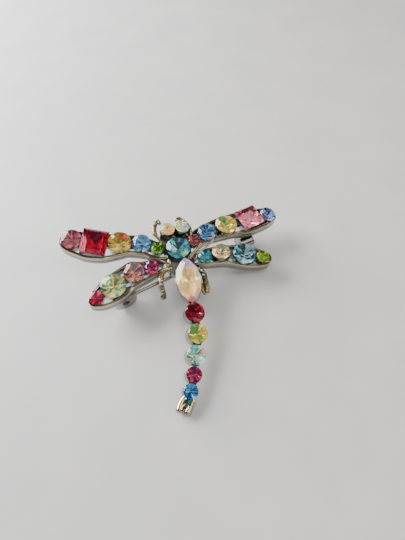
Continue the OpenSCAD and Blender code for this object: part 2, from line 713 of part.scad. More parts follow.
// The whole casting: walls, cups, bars, chest, wires, tail tip, hinge cheeks and catch
module frame_metal() {
    for (wing = WINGS) {
        wing_wall(wing[0], wing[1]);
        cup_bar(wing_centres(wing[0]), bar_top);
    }
    for (s = STONES)
        cup_body(s);
    cup_bar(concat([body_centre], tail_centres, [tail_root]), tail_ball_z + bar_h / 2);
    for (row = EYE_ROWS)
        eye_column([row[0], wing_centres(row)[0]]);
    chest();
    brow();
    tail_fork();
    for (wire = WIRES)
        beaded_wire(from_head(wire[0]), [for (p = wire[0]) p[3]], wire[1], wire[2]);
    hinge_cheeks();
    pin_catch();
}

module frame() {
    color("dimgray")
        difference() {
            lay_down()
                frame_metal();
            lay_down()
                for (s = STONES)
                    cup_room(s);
            lay_down()
                rivet_bore();
            translate([-FLOOR_SIDE / 2, -FLOOR_SIDE / 2, -stem_l])
                cube([FLOOR_SIDE, FLOOR_SIDE, stem_l]);
        }
}

// Lying down: the inner cheek, the catch and a tail ball touch the floor. The first two are
// filed flat to it, so their far edges count, and the ball stays a hair clear of the file.
FLOOR_SIDE = 100;
BALL_EASE = 1.05;
cheek_foot = hinge_place - stem_out * (slot_w / 2 + cheek_t) + [0, 0, -inner_cheek_drop];
catch_foot = catch_place - stem_out * (catch_r + catch_back_t) + [0, 0, -catch_drop];
tail_foot = prong_end(PRONGS[1]) + [0, 0, -tail_ball_d / 2 * BALL_EASE];
floor_raw = cross(catch_foot - tail_foot, cheek_foot - tail_foot);
floor_up = floor_raw / norm(floor_raw);
lean_axis = cross(floor_up, [0, 0, 1]);
lean_angle = acos(floor_up.z);
function laid(p) =
    let (k = lean_axis / norm(lean_axis))
    p * cos(lean_angle) + cross(k, p) * sin(lean_angle) + k * (k * p) * (1 - cos(lean_angle));
// The middle of the laid brooch, from the reach of its wing walls and its tail tip
outer_points = [
    for (wing = WINGS, p = wall_points(wing[0], wing[1]), z = [wall_top, wall_bottom])
        laid([p.x, p.y, z])
];
tail_reach_y = laid(prong_end(PRONGS[1])).y - tail_ball_d / 2;
middle = [
    (min([for (p = outer_points) p.x]) + max([for (p = outer_points) p.x])) / 2,
    (tail_reach_y + max([for (p = outer_points) p.y])) / 2,
];

module lay_down() {
    translate([-middle.x, -middle.y, -cheek_foot * floor_up])
        rotate(a = lean_angle, v = lean_axis)
            children();
}

frame();
rivet();
pin_stem();
for (s = STONES)
    stone(s);
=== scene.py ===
"""Looks of the dragonfly brooch: cut glass stones, ridged wing rims, beaded wires and metal."""

import json
import logging
import math
import random
from dataclasses import dataclass, field
from enum import Enum

import bmesh
import bpy
from mathutils import Matrix, Vector


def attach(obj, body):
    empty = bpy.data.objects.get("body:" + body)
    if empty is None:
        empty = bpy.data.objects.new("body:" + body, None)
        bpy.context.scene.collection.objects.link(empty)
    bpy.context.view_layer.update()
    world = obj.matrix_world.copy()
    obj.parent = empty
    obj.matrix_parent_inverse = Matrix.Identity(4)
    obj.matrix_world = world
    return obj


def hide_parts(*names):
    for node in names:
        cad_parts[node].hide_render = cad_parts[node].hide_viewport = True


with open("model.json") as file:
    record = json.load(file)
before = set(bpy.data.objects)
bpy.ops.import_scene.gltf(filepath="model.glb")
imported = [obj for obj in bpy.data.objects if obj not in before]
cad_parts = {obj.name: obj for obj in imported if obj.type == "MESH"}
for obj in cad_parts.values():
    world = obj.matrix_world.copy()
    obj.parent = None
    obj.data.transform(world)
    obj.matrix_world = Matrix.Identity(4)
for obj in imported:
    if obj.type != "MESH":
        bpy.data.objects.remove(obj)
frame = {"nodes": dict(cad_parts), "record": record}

logging.basicConfig(level=logging.INFO, format="%(message)s")
log = logging.getLogger("dragonfly")

Colour = tuple[float, float, float, float]
Ring = list[Vector]
Socket = bpy.types.NodeSocket

MM = 0.001
# A number smaller than this stands for nought
TINY = 1e-9
UP = Vector((0, 0, 1))
PLAIN: Colour = (0.0, 0.0, 0.0, 1.0)
# Height of the upright edge between a stone's front and back, in millimetres
GIRDLE = 0.15


class Slot(str, Enum):
    """The record's material slot of the antiqued metal."""

    METAL = "antiqued_metal"


class Cut(Enum):
    """Outlines of the stones."""

    ROUND = "round"
    SQUARE = "square"
    POINTED = "pointed"


def linear(hex_code: str) -> Colour:
    """Turns an sRGB colour into the linear one that a shader takes.

    Args:
        hex_code: six digits after a hash sign.

    Returns:
        Red, green, blue and a full alpha.
    """
    shares = [int(hex_code[i:i + 2], 16) / 255 for i in (1, 3, 5)]
    tones = [s / 12.92 if s <= 0.04045 else ((s + 0.055) / 1.055) ** 2.4 for s in shares]
    return (tones[0], tones[1], tones[2], 1.0)


def put(name: str, data: bpy.types.ID) -> bpy.types.Object:
    """Puts a mesh, a lamp or a camera in the scene.

    Args:
        name: the object's name.
        data: the mesh, the lamp or the camera.

    Returns:
        The object.
    """
    thing = bpy.data.objects.new(name, data)
    bpy.context.scene.collection.objects.link(thing)
    return thing


class Nodes:
    """The nodes of a material, a world or a node group, filled from empty."""

    def __init__(self, owner: bpy.types.ID) -> None:
        """Empties the node tree.

        Args:
            owner: the material or world that the nodes are for, or the node group itself.
        """
        if not isinstance(owner, bpy.types.NodeTree):
            owner.use_nodes = True
        self.owner = owner
        self.tree = getattr(owner, "node_tree", owner)
        self.tree.nodes.clear()

    def add(self, kind: str, settings: dict[str | int, object] | None = None) -> bpy.types.NodeOutputs:
        """Adds a node.

        Args:
            kind: its type's name, without ShaderNode for a shader's.
            settings: a value, an sRGB code or the socket that feeds it for each input, by the
                input's name or number, and a value for each property, by its name.

        Returns:
            The node's outputs.
        """
        node = self.tree.nodes.new(kind if "Node" in kind else f"ShaderNode{kind}")
        for name, value in (settings or {}).items():
            if isinstance(value, Socket):
                self.tree.links.new(value, node.inputs[name])
            elif isinstance(name, int) or name in node.inputs:
                node.inputs[name].default_value = linear(value) if isinstance(value, str) else value
            else:
                setattr(node, name, value)
        return node.outputs

    def shade(self, kind: str, settings: dict[str | int, object]) -> bpy.types.Material:
        """Adds the shader of the surface and gives the finished material."""
        self.add("OutputMaterial", {"Surface": self.add(kind, settings)[0]})
        return self.owner

    def texture(self, kind: str, size_mm: float, **settings: float) -> bpy.types.NodeOutputs:
        """Adds a texture that stays on the piece, with blotches of a size."""
        scale = {"Vector": self.add("TexCoord")["Object"], "Scale": 1 / (size_mm * MM)}
        return self.add(kind, {**scale, **settings})

    def ramp(self, source: Socket, *stops: tuple[float, str]) -> Socket:
        """Turns a value into a colour.

        Args:
            source: the value.
            stops: places from 0 to 1 with their sRGB colours.

        Returns:
            The colour.
        """
        colour = self.add("ValToRGB", {"Fac": source})["Color"]
        elements = colour.node.color_ramp.elements
        while len(elements) < len(stops):
            elements.new(0.5)
        for element, (place, code) in zip(elements, stops):
            element.position = place
            element.color = linear(code)
        return colour

    def mix(self, share: Socket, first: Socket | str, second: Socket | str, way: str = "MIX") -> Socket:
        """Mixes two colours, with a share of the second, each a socket or an sRGB code."""
        settings = {"data_type": "RGBA", "blend_type": way, 0: share, 6: first, 7: second}
        return self.add("Mix", settings)[2]


@dataclass(frozen=True)
class MetalFinish:
    """A plated metal with a dark patina in its recesses.

    A piece may carry a colour layer of wear and painted light: red gilds it, green blackens it
    and blue turns the black to verdigris. On the wires and rims the gilding is partly a painted
    highlight, the blackening partly painted shade and the verdigris a painted teal reflection.

    Attributes:
        name: the material's name.
        bright, patina: colours of the polished high places and of the recesses, the latter also used for
            painted shade.
        verdigris_and_teal_reflection: colour that the patina drifts to, also used for the wires' painted teal
            reflection.
        roughness: lowest and highest roughness.
        grain_mm, bump: size and strength of the casting's fine unevenness.
        edge_mm: radius that the sharp edges are polished to.
        recess_mm: how far a recess reaches.
        gilt_and_highlight: warm colour of worn places, also used for painted highlights.
    """

    # Size of the patches of verdigris and gilding, and height of the grain
    DRIFT_MM = 5
    BUMP_MM = 0.05

    name: str
    bright: str
    patina_and_shade: str
    verdigris_and_teal_reflection: str
    roughness: tuple[float, float]
    grain_mm: float
    bump: float
    edge_mm: float
    recess_mm: float
    gilt_and_highlight: str = "#dcb67c"

    def build(self) -> bpy.types.Material:
        """Builds the material.

        Returns:
            The material.
        """
        nodes = Nodes(bpy.data.materials.new(self.name))
        wear_and_painted_light = nodes.add("Attribute", {"attribute_name": "wear_and_painted_light"})["Color"]
        mark = nodes.add("SeparateColor", {"Color": wear_and_painted_light})
        # The grain is the skin of the casting mould, which the plating and polish leave visible
        grain = nodes.texture("TexNoise", self.grain_mm, Detail=4.0)["Fac"]
        drift = nodes.texture("TexNoise", self.DRIFT_MM, Detail=3.0)["Fac"]
        # Recesses keep the dark patina that polishing takes off the high places
        recess = nodes.add("AmbientOcclusion", {"samples": 6, "Distance": self.recess_mm * MM})["AO"]
        clean = nodes.ramp(recess, (0.3, "#000000"), (0.85, "#ffffff"))
        green = nodes.ramp(drift, (0.45, "#000000"), (0.62, "#ffffff"))
        green = nodes.add("Math", {"operation": "MAXIMUM", 0: green, 1: mark["Blue"]})[0]
        old = nodes.mix(green, self.patina_and_shade, self.verdigris_and_teal_reflection)
        worn = nodes.mix(clean, old, self.bright)
        # The layer's green blackens, in places as painted shade, and its red gilds, in places as a painted
        # highlight
        lined = nodes.mix(mark["Green"], worn, old)
        patch = nodes.ramp(drift, (0.36, "#3c3c3c"), (0.6, "#ffffff"))
        gilt_and_highlight_share = nodes.add("Math", {"operation": "MULTIPLY", 0: mark["Red"], 1: patch})[0]
        base = nodes.mix(gilt_and_highlight_share, lined, self.gilt_and_highlight)
        low, high = self.roughness
        reach = {"From Min": 0.35, "From Max": 0.7, "To Min": low, "To Max": high}
        rough = nodes.add("MapRange", {"Value": grain, **reach})[0]
        edges = nodes.add("Bevel", {"samples": 4, "Radius": self.edge_mm * MM})[0]
        relief = {"Strength": self.bump, "Distance": self.BUMP_MM * MM}
        bump = nodes.add("Bump", {"Height": grain, "Normal": edges, **relief})[0]
        metal = {"Metallic": 1.0, "Base Color": base, "Roughness": rough, "Normal": bump}
        return nodes.shade("BsdfPrincipled", metal)


@dataclass(frozen=True)
class FoilFinish:
    """The mirror foil behind a stone, seen through the glass.

    A stone's colour layer, named facet, gives its colours; its alpha tells how far they break up.

    Attributes:
        name: the material's name.
        metallic: share of mirror shine against plain colour.
        roughness: softness of the mirror.
        shard_mm: size of the painted shards of reflection on the facets.
        glow: strength of the light that the glass holds.
    """

    name: str
    metallic: float
    roughness: float
    shard_mm: float
    glow: float

    def build(self) -> bpy.types.Material:
        """Builds the material.

        Returns:
            The material.
        """
        nodes = Nodes(bpy.data.materials.new(self.name))
        facet = nodes.add("Attribute", {"attribute_name": "facet"})
        # Painted reflections: each facet would mirror its neighbours, so it is broken up into darker and
        # paler painted shards
        cell = nodes.texture("TexVoronoi", self.shard_mm)["Color"]
        shard = nodes.add("SeparateColor", {"Color": cell})
        dim = nodes.ramp(shard["Red"], (0.15, "#747474"), (0.4, "#d4d4d4"), (0.6, "#ffffff"))
        pale = nodes.ramp(shard["Green"], (0.7, "#000000"), (0.82, "#8a8a8a"))
        shaded = nodes.mix(facet["Alpha"], facet["Color"], dim, "MULTIPLY")
        colour = nodes.mix(facet["Alpha"], shaded, pale, "SCREEN")
        # The glow stands for the light that runs round inside the glass before it comes out
        glow = {"Emission Color": colour, "Emission Strength": self.glow}
        foil = {"Metallic": self.metallic, "Roughness": self.roughness, "Base Color": colour}
        return nodes.shade("BsdfPrincipled", {**foil, **glow})


@dataclass(frozen=True)
class GlassFinish:
    """The clear front of a stone: tinted and transparent, with a hard polished shine.

    Attributes:
        name: the material's name.
        tint: colour of the light that passes.
        ior: index of refraction, which sets how much is mirrored.
    """

    # Size of the handling marks, and the roughness of the worst of them
    MARK_MM = 1.5
    MARK_ROUGHNESS = 0.012

    name: str
    tint: str
    ior: float = 1.56

    def build(self) -> bpy.types.Material:
        """Builds the material.

        Returns:
            The material.
        """
        nodes = Nodes(bpy.data.materials.new(self.name))
        # Handling marks soften the polish a little here and there
        marks = nodes.texture("TexNoise", self.MARK_MM, Detail=2.0)["Fac"]
        rough = nodes.add("MapRange", {"Value": marks, "To Min": 0.0, "To Max": self.MARK_ROUGHNESS})[0]
        clear = nodes.add("BsdfGlass", {"Color": self.tint, "IOR": self.ior, "Roughness": rough})[0]
        # Lamps shine straight through to the foil, as they do in a thin clear front
        bare = nodes.add("BsdfTransparent", {"Color": self.tint})[0]
        shadow = nodes.add("LightPath")["Is Shadow Ray"]
        return nodes.shade("MixShader", {0: shadow, 1: clear, 2: bare})


class Plane:
    """The brooch's own plane, in which its parts are laid out in millimetres.

    Its origin lies under the middle of the body stone. X runs along the wings, Y from the tail
    to the head and Z out of the stones' faces. The record gives these: the pin's axis and its
    hinge axis both lie in the plane.
    """

    # Degrees from the wings' line to the pin, and height of the body stone's edge
    PIN_HEADING = 29.6
    BODY_LIFT = 0.3

    def __init__(self, record: dict, body_centre: Vector) -> None:
        """Finds the plane.

        Args:
            record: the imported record.
            body_centre: centre of the body stone's edge, in the row frame in millimetres.
        """
        way = Vector(record["mounts"][0]["axis"]).normalized()
        side = Vector(record["behaviour"]["joints"][0]["axis"]).normalized()
        turn = math.radians(self.PIN_HEADING)
        self.z = way.cross(side).normalized()
        self.x = (way * math.cos(turn) - side * math.sin(turn)).normalized()
        self.y = self.z.cross(self.x)
        self.origin = body_centre - self.z * self.BODY_LIFT

    def out(self, p: Vector) -> Vector:
        """Turns a place in the plane into one in the row frame, both in millimetres."""
        return self.origin + self.x * p.x + self.y * p.y + self.z * p.z

    def into(self, p: Vector) -> Vector:
        """Turns a place in the row frame into one in the plane, both in millimetres."""
        d = p - self.origin
        return Vector((d.dot(self.x), d.dot(self.y), d.dot(self.z)))


@dataclass(frozen=True)
class Seat:
    """Where a stone sits, read from its CAD solid.

    Attributes:
        cut: the stone's outline.
        centre: middle of its edge, in the row frame in millimetres.
        x, y, z: the stone's own directions, z out of its table.
        width, length: its size; the two differ for the pointed stone alone.
        crown: height of the table over the edge.
        back: depth of the point under the edge.
    """

    # Directions are alike from this dot product on, and lengths within this many millimetres
    SAME_WAY = 0.999
    SAME_LENGTH = 0.01
    # How much fuller than a cone the back of a square or pointed stone is
    FULLNESS = 0.12

    cut: Cut
    centre: Vector
    x: Vector
    y: Vector
    z: Vector
    width: float
    length: float
    crown: float
    back: float

    @classmethod
    def of(cls, node: str, cut: Cut) -> "Seat":
        """Reads the seat from a CAD node's mesh.

        Args:
            node: the stone's node.
            cut: its outline.

        Returns:
            The seat.
        """
        mesh = frame["nodes"][node].data
        areas: dict[tuple, float] = {}
        for polygon in mesh.polygons:
            key = tuple(round(c, 2) for c in polygon.normal)
            areas[key] = areas.get(key, 0.0) + polygon.area
        guess = Vector(max(areas, key=areas.get)).normalized()
        table = [p for p in mesh.polygons if p.normal.dot(guess) > cls.SAME_WAY]
        z = sum((p.normal * p.area for p in table), Vector()).normalized()
        points = [v.co / MM for v in mesh.vertices]
        tip = min(points, key=lambda p: p.dot(z))
        heights = [(p - tip).dot(z) for p in points]
        spreads = [((p - tip) - z * h).length for p, h in zip(points, heights)]
        reach, top = max(spreads), max(heights)
        edge = max(h for h, s in zip(heights, spreads) if s > reach - cls.SAME_LENGTH)
        centre = tip + z * edge
        # The stone is turned by its two ends, or else by the corners of its table
        pointed = cut is Cut.POINTED
        measures, limit = (spreads, reach) if pointed else (heights, top)
        ways = [p - centre for p, m in zip(points, measures) if m > limit - cls.SAME_LENGTH]
        ways = [(d - z * d.dot(z)).normalized() for d in ways]
        if cut is Cut.SQUARE:
            ways = [Matrix.Rotation(math.radians(45), 3, z) @ d for d in ways]
        hint = Vector((0, 1, 0)) if pointed else Vector((1, 0, 0))
        first = max(ways, key=lambda d: d.dot(hint))
        y = first if pointed else z.cross(first)
        x = y.cross(z).normalized()
        width = length = 2 * reach if cut is Cut.ROUND else reach * math.sqrt(2)
        if pointed:
            width, length = 2 * max(abs((p - centre).dot(x)) for p in points), 2 * reach
        return cls(cut, centre, x, y, z, width, length, top - edge, edge - GIRDLE)

    def out(self, x: float, y: float, z: float) -> Vector:
        """Turns a place in the stone's own directions into one in the row frame."""
        return self.centre + self.x * x + self.y * y + self.z * z

    def rim(self, angle: float, wide: float, long: float) -> tuple[float, float]:
        """Gives a point on the stone's outline.

        Args:
            angle: place along the outline, in degrees.
            wide: width against the full outline.
            long: length against the full outline.

        Returns:
            The point's x and y.
        """
        c, s = math.cos(math.radians(angle)), math.sin(math.radians(angle))
        if self.cut is Cut.ROUND:
            return c * self.width / 2 * wide, s * self.width / 2 * wide
        if self.cut is Cut.SQUARE:
            scale = self.width / 2 / max(abs(c), abs(s)) * wide
            return c * scale, s * scale
        w, l = self.width * wide, self.length * long
        # A pointed stone's sides are two arcs of this radius
        bow = (l * l + w * w) / (4 * w)
        y = s * l / 2
        x = math.sqrt(bow * bow - y * y) - bow + w / 2
        return (math.copysign(x, c) if abs(c) > TINY else 0.0), y

    def sink(self, p: Vector, clear: float) -> Vector:
        """Moves a point of the metal out of the room that the stone takes.

        Args:
            p: the point in the row frame, in millimetres.
            clear: distance to keep from the glass.

        Returns:
            The point, moved down to the stone's back if it was in its way.
        """
        d = p - self.centre
        x, y = d.dot(self.x), d.dot(self.y)
        # The share is 0 in the middle of the stone and 1 on its outline
        fuller = 1 + self.FULLNESS
        if self.cut is Cut.ROUND:
            share, fuller = math.hypot(x, y) * 2 / self.width, 1.0
        elif self.cut is Cut.SQUARE:
            share = max(abs(x), abs(y)) * 2 / self.width
        else:
            bow = (self.length ** 2 + self.width ** 2) / (4 * self.width)
            inset = bow - self.width / 2
            a, b, c = x * x + y * y, 2 * abs(x) * inset, inset ** 2 - bow * bow
            share = 2 * a / (math.sqrt(b * b - 4 * a * c) - b) if a > TINY else 0.0
        if share > 1 + clear:
            return p
        depth = GIRDLE + self.back * min((1 - min(share, 1.0)) * fuller, 1.0) + clear
        over = d.dot(self.z) + depth
        return p - self.z * over if over > 0 else p


@dataclass
class Mesh:
    """A closed mesh that is gathered face by face.

    Attributes:
        layer: name of its colour layer.
        points: its points, in the row frame in millimetres.
        faces: each face's points, counter-clockwise from outside, its material and its colour.
    """

    layer: str = "wear_and_painted_light"
    points: list[Vector] = field(default_factory=list)
    faces: list[tuple[tuple[int, ...], int, Colour]] = field(default_factory=list)

    def add(self, face: tuple[int, ...], material: int = 0, colour: Colour = PLAIN) -> None:
        """Adds a face by its points' numbers."""
        self.faces.append((face, material, colour))

    def build(self, name: str, materials: list[bpy.types.Material], body: str,
              smooth: float) -> bpy.types.Object:
        """Makes the object and lets it ride its body.

        Args:
            name: the piece's name.
            materials: its materials by slot number.
            body: the CAD body that it moves with.
            smooth: largest angle that is shaded smooth, in degrees, or 0.

        Returns:
            The finished object.
        """
        mesh = bpy.data.meshes.new(name)
        mesh.from_pydata([p * MM for p in self.points], [], [face for face, _, _ in self.faces])
        for material in materials:
            mesh.materials.append(material)
        mesh.polygons.foreach_set("material_index", [number for _, number, _ in self.faces])
        # The colour layer holds one colour for each corner of each face
        layer = mesh.color_attributes.new(self.layer, "FLOAT_COLOR", "CORNER")
        corners = [colour for face, _, colour in self.faces for _ in face]
        layer.data.foreach_set("color", [part for colour in corners for part in colour])
        work = bmesh.new()
        work.from_mesh(mesh)
        bmesh.ops.recalc_face_normals(work, faces=work.faces)
        work.to_mesh(mesh)
        work.free()
        if smooth:
            mesh.shade_smooth()
            mesh.set_sharp_from_angle(angle=math.radians(smooth))
        piece = put(name, mesh)
        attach(piece, body)
        log.info("%s: %d faces", name, len(self.faces))
        return piece


@dataclass(frozen=True)
class Gem:
    """One cut stone and the colours of its foil facets.

    Attributes:
        node: the CAD node that it stands for.
        tint: colour of its glass.
        palette: colours that follow each other round the foil.
        glints: groups of facets in other colours: the middle of the group in degrees from the
        photo's right, its width in degrees, its sRGB colour, and True where the facets at
        the middle of the stone belong to it too. The white and near-white groups are painted
        highlights and reflections; the others are the foil's colours.
        cut: the stone's outline.
        shards: how far its facets break up into painted shards of reflection.
    """

    node: str
    tint: str
    palette: tuple[str, ...]
    glints: tuple[tuple, ...]
    cut: Cut = Cut.ROUND
    shards: float = 0.5


@dataclass(frozen=True)
class StoneCutter:
    """Cuts one visual stone: a clear front and a foiled back in one closed skin.

    Attributes:
        gem: the stone.
        seat: where it sits.
        facets: number of a round stone's kite facets.
        table, star, back_star: widths of its table and of the rings of corners on its front and
            back. All widths and lengths here are shares of the stone's.
        square, pointed: sides, turn in steps, and the table's width and length.
        halfway: width of these two at half the depth of the back.
        mesh: the skin so far.
    """

    # Number of the foil among a stone's materials; the glass is 0
    FOIL = 1

    gem: Gem
    seat: Seat
    facets: int = 8
    table: float = 0.56
    star: float = 0.8
    back_star: float = 0.24
    square: tuple[int, float, float, float] = (4, 0.5, 0.74, 0.74)
    pointed: tuple[int, float, float, float] = (12, 0, 0.48, 0.7)
    halfway: float = 0.6
    mesh: Mesh = field(default_factory=lambda: Mesh("facet"))

    def cut(self, foil: bpy.types.Material, slot: str) -> None:
        """Cuts the stone and sets it in its place.

        Args:
            foil: the foil's material.
            slot: the record's material slot of its CAD node.
        """
        gem = self.gem
        if gem.cut is Cut.ROUND:
            self.brilliant()
        else:
            self.bevelled()
        glass = GlassFinish(f"Cut glass, {slot.replace('_', ' ')}", gem.tint).build()
        piece = self.mesh.build(f"cut_{gem.node}", [glass, foil], "brooch", 0)
        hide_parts(gem.node)

    def foil_face(self, face: tuple[int, ...], number: int, inner: bool) -> None:
        """Adds a foiled facet in its own colour.

        Args:
            face: numbers of the facet's points.
            number: the facet's number round the stone.
            inner: whether it is one of the long facets that meet in the middle.
        """
        gem, seat = self.gem, self.seat
        middle = sum((self.mesh.points[i] for i in face), Vector()) / len(face) - seat.centre
        way = seat.x * middle.dot(seat.x) + seat.y * middle.dot(seat.y)
        angle = math.degrees(math.atan2(way.y, way.x))
        chosen = gem.palette[number % len(gem.palette)]
        for direction, spread, colour, *whole in gem.glints:
            off = (angle - direction + 180) % 360 - 180
            if abs(off) <= spread / 2 and (whole or not inner):
                chosen = colour
                break
        self.mesh.add(face, self.FOIL, (*linear(chosen)[:3], gem.shards))

    def ring(self, sides: int, turn: float, wide: float, z: float, long: float | None = None) -> list[int]:
        """Adds a ring of points.

        Args:
            sides: number of points.
            turn: turn of the ring, in steps.
            wide: width against the full outline.
            z: height over the stone's edge.
            long: length against the full outline, where it differs from the width's share.

        Returns:
            The points' numbers.
        """
        start = len(self.mesh.points)
        for i in range(sides):
            x, y = self.seat.rim((i + turn) * 360 / sides, wide, long or wide)
            self.mesh.points.append(self.seat.out(x, y, z))
        return list(range(start, start + sides))

    def tip(self) -> int:
        """Adds the point of the stone's back and gives its number."""
        self.mesh.points.append(self.seat.out(0, 0, -GIRDLE - self.seat.back))
        return len(self.mesh.points) - 1

    def brilliant(self) -> None:
        """Cuts a round stone with star, kite and half facets on its front and back."""
        n, crown, add = self.facets, self.seat.crown, self.mesh.add
        half = math.cos(math.pi / n)
        star_z = crown * (1 - self.star * half) / (1 - self.table)
        back_z = -GIRDLE - self.seat.back * (1 - self.back_star * half)
        table = self.ring(n, 0, self.table, crown)
        star = self.ring(n, 0.5, self.star, star_z)
        edge = self.ring(2 * n, 0, 1, 0)
        low = self.ring(2 * n, 0, 1, -GIRDLE)
        back = self.ring(n, 0.5, self.back_star, back_z)
        tip = self.tip()
        add(tuple(table))
        for k in range(n):
            e = 2 * k
            after = (e + 2) % (2 * n)
            add((table[k], star[k], table[(k + 1) % n]))
            add((table[k], star[k - 1], edge[e], star[k]))
            add((star[k], edge[e], edge[e + 1]))
            add((star[k], edge[e + 1], edge[after]))
            add((edge[e], low[e], low[e + 1], edge[e + 1]))
            add((edge[e + 1], low[e + 1], low[after], edge[after]))
            self.foil_face((low[e], back[k - 1], tip, back[k]), k, True)
            self.foil_face((low[e], back[k], low[e + 1]), 3 * k + 1, False)
            self.foil_face((low[e + 1], back[k], low[after]), 3 * k + 2, False)

    def bevelled(self) -> None:
        """Cuts a square or pointed stone with one ring of bevels round its table."""
        square = self.gem.cut is Cut.SQUARE
        sides, turn, wide, long = self.square if square else self.pointed
        # A square stone's back is cut in two facets a side
        split = 2 if square else 1
        count = sides * split
        table = self.ring(sides, turn, wide, self.seat.crown, long)
        edge = self.ring(sides, turn, 1, 0)
        low = self.ring(count, turn * split, 1, -GIRDLE)
        mid = self.ring(count, turn * split, self.halfway, -GIRDLE - self.seat.back / 2)
        tip = self.tip()
        self.mesh.add(tuple(table))
        for k in range(sides):
            n = (k + 1) % sides
            self.mesh.add((table[k], edge[n], table[n]))
            self.mesh.add((table[k], edge[k], edge[n]))
            self.mesh.add((edge[k], *(low[(k * split + i) % count] for i in range(split + 1)), edge[n]))
        for k in range(count):
            n = (k + 1) % count
            self.foil_face((low[k], mid[k], mid[n]), 3 * k, False)
            self.foil_face((low[k], mid[n], low[n]), 3 * k + 1, False)
            self.foil_face((mid[k], tip, mid[n]), 3 * k + 2, True)
